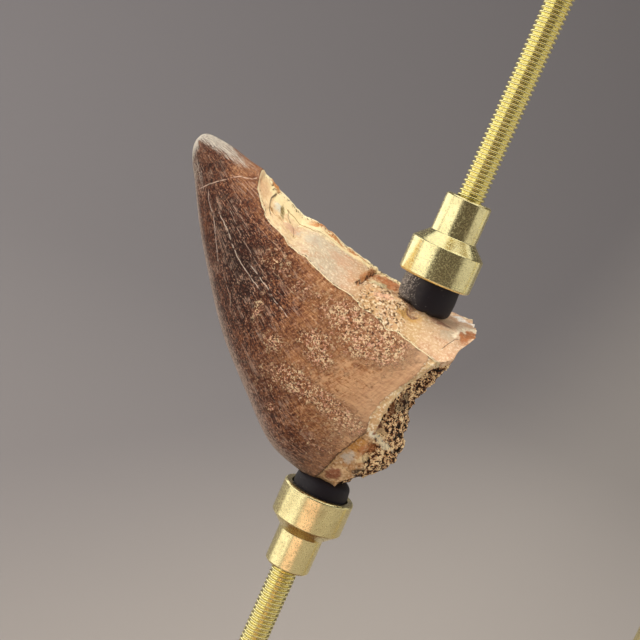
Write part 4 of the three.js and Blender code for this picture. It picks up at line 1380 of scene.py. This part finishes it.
def makeKnob():
    low, high, centre = boxOf("thumb_knob")
    grip, height = (high[0] - low[0]) / 2, high[2] - low[2]
    hub, hubTop, chamfer = knobShape["hub"] / 2, knobShape["hubHeight"], knobShape["chamfer"]
    bore, dish = knobShape["bore"] / 2, knobShape["dish"] / 2
    roof, dishFloor = height - knobShape["roof"], height - knobShape["dishDepth"]
    profile = softened([
        (0, roof), (bore, roof), (bore, 0), (hub, 0), (hub, hubTop), (grip - chamfer, hubTop),
        (grip, hubTop + chamfer), (grip, height - chamfer), (grip - chamfer, height), (dish, height),
        (dish - knobShape["dishEdge"], dishFloor), (0, dishFloor),
    ], knobShape["round"])
    finish = makeBrass("knob_brass", centre, **knobShape["brass"])
    unscaled = [(radius / mm, level / mm) for radius, level in profile]  # the tree does the scaling
    blank = turnedMesh("knob_blank", unscaled, (0, 0, 0), knobShape["sides"])
    mesh = runTree("knob_turned", makeKnobTree(), {
        "Teeth": knobShape["teeth"], "Tooth Depth": knobShape["toothDepth"], "Chamfer": chamfer,
        "Grip Radius": float(grip), "Place": tuple(float(c) * mm for c in (centre[0], centre[1], low[2])),
        "Unit": mm, "Material": finish,
    }, blank)
    addPiece("knob_turned", mesh, ["thumb_knob"], finish)


makeKnob()

# Turned column

columnShape = {
    "shaft": 8.0, "foot": 18.0, "footHeight": 4.0, "footEdge": 0.2, "footRound": (2.0, 1.0), "sweep": 1.5,
    "hold": 3.0, "chamfer": 0.4, "bore": 4.6, "boreDepth": 10.0, "round": 0.5,
    "brass": {"tarnished": 0.2, "roughness": 0.2, "markDepth": 0.02, "anisotropy": 0.55},
}


def makeColumn():
    low, high, centre = boxOf("column")
    bottom, top, footTop = low[2], high[2], low[2] + columnShape["footHeight"]
    shaft, foot, bore = (columnShape[part] / 2 for part in ("shaft", "foot", "bore"))
    edge, hold, sweep, chamfer = (columnShape[part] for part in ("footEdge", "hold", "sweep", "chamfer"))
    sideEnd, roundEnd = (footTop - drop for drop in columnShape["footRound"])
    boreEnd = top - columnShape["boreDepth"]
    profile = softened([
        (0, bottom), (foot - edge, bottom), (foot, bottom + edge), (foot, sideEnd), (foot * 0.9, roundEnd),
        (shaft + sweep, footTop), (shaft + sweep * 0.3, footTop + sweep * 0.3), (shaft, footTop + sweep),
        (shaft, footTop + sweep + hold), (shaft, top - hold), (shaft, top - chamfer), (shaft - chamfer, top),
        (bore, top), (bore, boreEnd), (0, boreEnd),
    ], columnShape["round"])
    mesh = turnedMesh("column_turned", profile, centre)
    finish = makeBrass("column_brass", centre, **columnShape["brass"])
    addPiece("column_turned", mesh, ["column"], finish)


makeColumn()

# Pieces that are cut: outlines raised to blocks, bored and slotted, with small rounded edges

def block(name, outline, bottom, top):
    count = len(outline)
    points = [(x, y, bottom) for x, y in outline] + [(x, y, top) for x, y in outline]
    faces = [tuple(range(count))[::-1], tuple(range(count, 2 * count))]
    faces += [(i, (i + 1) % count, count + (i + 1) % count, count + i) for i in range(count)]
    return meshOf(name, points, faces)


def circle(centre, radius, count=64):
    return [point[:2] for point in ringAt(centre, radius, 0, anglesOf(count))]


def arc(centre, radius, start, end, count):
    return [point[:2] for point in ringAt(centre, radius, 0, np.linspace(start, end, count))]


def throughBore(place, diameter, bottom, top):  # runs 1 mm past either face
    return "DIFFERENCE", block("bore", circle(place, diameter / 2), bottom - 1, top + 1)


def cutMesh(name, blank, cutters, rounding, segments=2):  # rounds edges sharper than 28 degrees
    host = placeObject(name, blank)
    helpers = [host]
    for operation, mesh in cutters:
        cutter = placeObject(name + "_cutter", mesh)
        helpers.append(cutter)
        boolean = host.modifiers.new("cut", "BOOLEAN")
        boolean.operation, boolean.object, boolean.solver = operation, cutter, "EXACT"
    bevel = host.modifiers.new("edges", "BEVEL")
    bevel.width, bevel.segments, bevel.limit_method = rounding * mm, segments, "ANGLE"
    bevel.angle_limit, bevel.harden_normals = math.radians(28), True
    mesh = bpy.data.meshes.new_from_object(host.evaluated_get(bpy.context.evaluated_depsgraph_get()))
    for helper in helpers:
        bpy.data.objects.remove(helper)
    mesh.name = name
    return mesh


armShape = {"width": 9.0, "bore": 4.6, "rounding": 0.6}


def makeArm():
    low, high, _ = boxOf("arm")
    start, end = boxOf("column")[2][:2], boxOf("clamp_screw")[2][:2]
    boss, half = high[1] - start[1], armShape["width"] / 2
    heading = math.atan2(end[1] - start[1], end[0] - start[0])
    flank = math.asin(half / boss)
    outline = arc(start, boss, heading + flank, heading + 2 * math.pi - flank, 60)
    outline += arc(end, boss, heading + math.pi + flank, heading + 3 * math.pi - flank, 60)
    bores = [throughBore(place, armShape["bore"], low[2], high[2]) for place in (start, end)]
    mesh = cutMesh("arm_milled", block("arm", outline, low[2], high[2]), bores, armShape["rounding"], 3)
    addPiece("arm_milled", mesh, ["arm"], makeBrushedBrass(heading + math.pi))


makeArm()

screwShape = {
    "head": 8.0, "headHeight": 3.2, "dome": [(1.0, 1.28), (0.9, 2.3), (0.6, 3.0)], "shank": 4.0, "tip": 0.4,
    "round": 0.5, "slot": (10.0, 0.9), "slotDepth": 0.8, "turn": 0.6, "sides": 96, "rounding": 0.08,
    "brass": {"tarnished": 0.35, "roughness": 0.25, "markDepth": 0.03},
}


def makeArmScrew():
    low, high, centre = boxOf("arm_screw")
    head, shank, tip = screwShape["head"] / 2, screwShape["shank"] / 2, screwShape["tip"]
    seat = high[2] - screwShape["headHeight"]
    dome = [(head * share, seat + lift) for share, lift in screwShape["dome"]]
    profile = softened([
        (0, low[2]), (shank - tip, low[2]), (shank, low[2] + tip), (shank, seat), (head, seat), *dome,
        (0, high[2]),
    ], screwShape["round"])
    c, s = math.cos(screwShape["turn"]), math.sin(screwShape["turn"])
    halfX, halfY = (size / 2 for size in screwShape["slot"])
    corners = [(-halfX, -halfY), (halfX, -halfY), (halfX, halfY), (-halfX, halfY)]
    outline = [(centre[0] + x * c - y * s, centre[1] + x * s + y * c) for x, y in corners]
    slot = block("slot", outline, high[2] - screwShape["slotDepth"], high[2] + 1)
    blank = turnedMesh("head", profile, centre, screwShape["sides"])
    mesh = cutMesh("arm_screw_turned", blank, [("DIFFERENCE", slot)], screwShape["rounding"])
    finish = makeBrass("arm_screw_brass", centre, **screwShape["brass"])
    addPiece("arm_screw_turned", mesh, ["arm_screw"], finish)


makeArmScrew()

nutShape = {
    "flats": 7.0, "chamfer": 0.5, "overrun": 0.2, "bore": 4.6, "sides": 96, "rounding": 0.08,
    "brass": {"tarnished": 0.4, "roughness": 0.26, "markDepth": 0.03},
}


def makeNut():
    low, high, centre = boxOf("base_nut")
    corner, flat, chamfer = nutShape["flats"] / math.sqrt(3), nutShape["flats"] / 2, nutShape["chamfer"]
    blank = block("nut", circle(centre, corner, count=6), low[2], high[2])
    wide = corner + nutShape["overrun"]
    turning = turnedMesh("turning", [
        (0, low[2]), (flat, low[2]), (wide, low[2] + chamfer), (wide, high[2] - chamfer), (flat, high[2]),
        (0, high[2]),
    ], centre, nutShape["sides"])
    cutters = [("INTERSECT", turning), throughBore(centre, nutShape["bore"], low[2], high[2])]
    mesh = cutMesh("base_nut_milled", blank, cutters, nutShape["rounding"])
    finish = makeBrass("base_nut_brass", centre, **nutShape["brass"])
    addPiece("base_nut_milled", mesh, ["base_nut"], finish)


makeNut()

# Walnut base: rings of a rounded rectangle from the rod's hole over the top and edges to the underside

baseShape = {
    "corner": 3.0, "cornerSteps": 9, "bevel": 1.2, "bevelSteps": 6, "spacing": 1.5,
    "bore": 4.6, "boreFloor": 7.0, "boreEdge": 0.1, "hold": 0.3,
}


def roundedRectangle(halfX, halfY, corner, spacing):
    places = [(halfX - corner, halfY - corner, 0), (corner - halfX, halfY - corner, 1),
              (corner - halfX, corner - halfY, 2), (halfX - corner, corner - halfY, 3)]
    points = []
    for index, (x, y, quarter) in enumerate(places):
        quarterTurn = quarter * math.pi / 2, (quarter + 1) * math.pi / 2
        points += arc((x, y), corner, *quarterTurn, baseShape["cornerSteps"])
        nextX, nextY, _ = places[(index + 1) % 4]
        last = points[-1]
        shift = (nextX - x, nextY - y)
        count = int(math.hypot(*shift) / spacing)
        points += [(last[0] + shift[0] * k / count, last[1] + shift[1] * k / count) for k in range(1, count)]
    return points


def makeBase():
    low, high, _ = boxOf("base")
    bottom, top = low[2], high[2]
    hole = boxOf("lower_rod")[2][:2]
    halfX, halfY = (high[:2] - low[:2]) / 2
    outline = roundedRectangle(halfX, halfY, baseShape["corner"], baseShape["spacing"])
    bevel, edge, hold = baseShape["bevel"], baseShape["boreEdge"], baseShape["hold"]

    def ring(inset, z):
        scaleX, scaleY = (halfX - inset) / halfX, (halfY - inset) / halfY
        return [(x * scaleX, y * scaleY, z) for x, y in outline]

    around = [math.atan2(y - hole[1], x - hole[0]) for x, y in outline]
    boreRings = [(0, baseShape["boreFloor"]), (0, top - edge), (edge, top), (edge + hold, top)]
    rings = [ringAt(hole, baseShape["bore"] / 2 + wider, z, around) for wider, z in boreRings]
    rings.append(ring(bevel + hold, top))
    turns = np.linspace(0, math.pi / 2, baseShape["bevelSteps"] + 1)
    rings += [ring(bevel * (1 - math.sin(t)), top - bevel * (1 - math.cos(t))) for t in turns]
    rings += [ring(0, bottom + (top - bottom) * share) for share in (0.75, 0.5, 0.25)]
    rings += [ring(bevel * (1 - math.cos(t)), bottom + bevel * (1 - math.sin(t))) for t in turns]
    rings.append(ring(bevel + hold, bottom))
    points = [(hole[0], hole[1], baseShape["boreFloor"])] + sum(rings, []) + [(0, 0, bottom)]
    mesh = meshOf("base_walnut", points, ringFaces(len(rings), len(outline)))
    addPiece("base_walnut", mesh, ["base"], makeWalnut())


makeBase()

# Stage, lights and camera

stageShape = {
    "flat": 560, "flatSteps": 8, "wall": 760, "curveSteps": 16, "height": 1700, "sides": 96,
    # paper colour near and far: the grading between them is painted light falloff
    "near": "a19992", "far": "827c7a", "across": (-3, 1, 0), "spread": (60, 500),
}


def makeStage():
    flat, wall, sides = stageShape["flat"], stageShape["wall"], stageShape["sides"]
    flatSteps, curveSteps = stageShape["flatSteps"], stageShape["curveSteps"]
    profile = [(flat * step / flatSteps, 0) for step in range(flatSteps + 1)]
    for step in range(1, curveSteps + 1):
        turn = step / curveSteps * math.pi / 2
        profile.append((flat + wall * math.sin(turn), wall * (1 - math.cos(turn))))
    profile.append((flat + wall, stageShape["height"]))
    points = [(0, 0, 0)]
    for radius, height in profile[1:]:
        points += ringAt((0, 0), radius, height, anglesOf(sides))
    faces = [(0, 1 + i, 1 + (i + 1) % sides) for i in range(sides)]
    for ring in range(len(profile) - 2):
        low, high = 1 + ring * sides, 1 + (ring + 1) * sides
        faces += [(low + i, high + i, high + (i + 1) % sides, low + (i + 1) % sides) for i in range(sides)]
    mesh = meshOf("studio_floor", points, faces)
    material, tree, shader = newMaterial("studioPaper")
    place = millimetres(tree)
    # painted light falloff: the paper darkens along one direction across the stage
    values = {0: place, 1: stageShape["across"]}
    across = addNode(tree, "ShaderNodeVectorMath", values, operation="DOT_PRODUCT").outputs["Value"]
    shade = between(tree, across, *stageShape["spread"])
    tone = scaleAdd(tree, noiseOf(tree, place, 0.01, 2.0), 0.06, shade)
    wire(tree, shader.inputs, {
        "Base Color": mixColors(tree, tone, paint(stageShape["near"]), paint(stageShape["far"])),
        "Roughness": 0.9,
        "Specular IOR Level": 0.2,
    })
    mesh.materials.append(material)
    floor = placeObject("studio_floor", mesh)
    print("made the studio floor")


def addLight(name, settings):
    data = bpy.data.lights.new(name, "AREA")
    data.shape = "RECTANGLE"
    data.size, data.size_y = settings["size"][0] * mm, settings["size"][1] * mm
    data.energy = settings["power"]
    data.color = settings["color"]
    light = placeObject(name, data)
    light.location = Vector(settings["place"]) * mm
    aim = Vector(settings["aim"]) * mm - light.location
    light.rotation_euler = aim.to_track_quat("-Z", "Y").to_euler()
    light.visible_camera = False
    light.visible_glossy = settings.get("mirrored", True)
    light.visible_diffuse = settings.get("diffuse", True)


lights = {
    "leftFront": {"place": (-485, -280, 190), "aim": (-16, 0, 90), "size": (560, 420), "power": 0.95,
                  "color": (1.0, 0.99, 0.96), "diffuse": False},
    "leftBack": {"place": (-507, 237, 190), "aim": (-16, 0, 90), "size": (560, 420), "power": 0.95,
                 "color": (1.0, 0.99, 0.96), "diffuse": False},
    "leftSoft": {"place": (-560, -30, 300), "aim": (-16, 0, 90), "size": (900, 300), "power": 1.9,
                 "color": (1.0, 0.99, 0.96), "mirrored": False},
    "right": {"place": (520, 20, 230), "aim": (-16, 0, 90), "size": (870, 420), "power": 0.63,
              "color": (1.0, 0.98, 0.94), "diffuse": False},
    "rightSoft": {"place": (560, 20, 320), "aim": (-16, 0, 90), "size": (870, 300), "power": 0.62,
                  "color": (1.0, 0.98, 0.94), "mirrored": False},
    "top": {"place": (0, 0, 640), "aim": (0, 0, 90), "size": (760, 880), "power": 2.5,
            "color": (1.0, 0.99, 0.96)},
    "key": {"place": (-170, -35, 520), "aim": (-16, 0, 100), "size": (200, 200), "power": 1.25,
            "color": (1.0, 0.96, 0.9), "mirrored": False},
    "fillLeft": {"place": (-400, -320, 190), "aim": (-20, 0, 80), "size": (300, 140), "power": 0.95,
                 "color": (1.0, 0.95, 0.92), "mirrored": False},
    "fillRight": {"place": (330, -270, 210), "aim": (-10, 0, 85), "size": (260, 180), "power": 0.72,
                  "color": (1.0, 0.96, 0.9), "mirrored": False},
    "backdrop": {"place": (-300, 420, 900), "aim": (-350, 1150, 410), "size": (600, 300), "power": 5.3,
                 "color": (0.94, 0.96, 1.0), "mirrored": False},
    "backdropLeft": {"place": (-430, 560, 420), "aim": (-330, 900, 60), "size": (300, 200), "power": 0.45,
                     "color": (0.98, 0.98, 1.0), "mirrored": False},
    "low": {"place": (-30, -150, 19), "aim": (-16, 0, 66), "size": (120, 40), "power": 0.011,
            "color": (1.0, 0.56, 0.46), "diffuse": False},
    "lowLeft": {"place": (-157, -51, 17), "aim": (-16, 0, 62), "size": (190, 36), "power": 0.019,
                "color": (1.0, 0.98, 0.92), "diffuse": False},
}


roomLight = {"Color": (0.5, 0.5, 0.5, 1.0), "Strength": 0.12}


def makeLights():
    for name, settings in lights.items():
        addLight(name, settings)
    world = bpy.data.worlds.new("studio")
    bpy.context.scene.world = world
    world.use_nodes = True
    background = world.node_tree.nodes["Background"]
    wire(world.node_tree, background.inputs, roomLight)
    print("placed", len(lights), "lights")


cameraShape = {
    "place": (-28.6, -192.2, 123.5), "pitch": 8.36, "roll": 23.61, "lens": 76.05, "sensor": 36.0,
    "clip": (0.01, 10),
}


def makeCamera():
    pitch, roll = math.radians(cameraShape["pitch"]), math.radians(cameraShape["roll"])
    level = Vector((1, 0, 0))
    upright = Vector((0, math.sin(pitch), math.cos(pitch)))
    forward = Vector((0, math.cos(pitch), -math.sin(pitch)))
    right = level * math.cos(roll) + upright * math.sin(roll)
    up = upright * math.cos(roll) - level * math.sin(roll)
    data = bpy.data.cameras.new("camera")
    data.lens, data.sensor_width = cameraShape["lens"], cameraShape["sensor"]
    data.clip_start, data.clip_end = cameraShape["clip"]
    camera = placeObject("camera", data)
    turned = Matrix((right, up, -forward)).transposed().to_4x4()
    camera.matrix_world = Matrix.Translation(Vector(cameraShape["place"]) * mm) @ turned
    bpy.context.scene.camera = camera
    print("placed the camera")


makeStage()
makeLights()
makeCamera()
bpy.context.scene.view_settings.view_transform = "Standard"
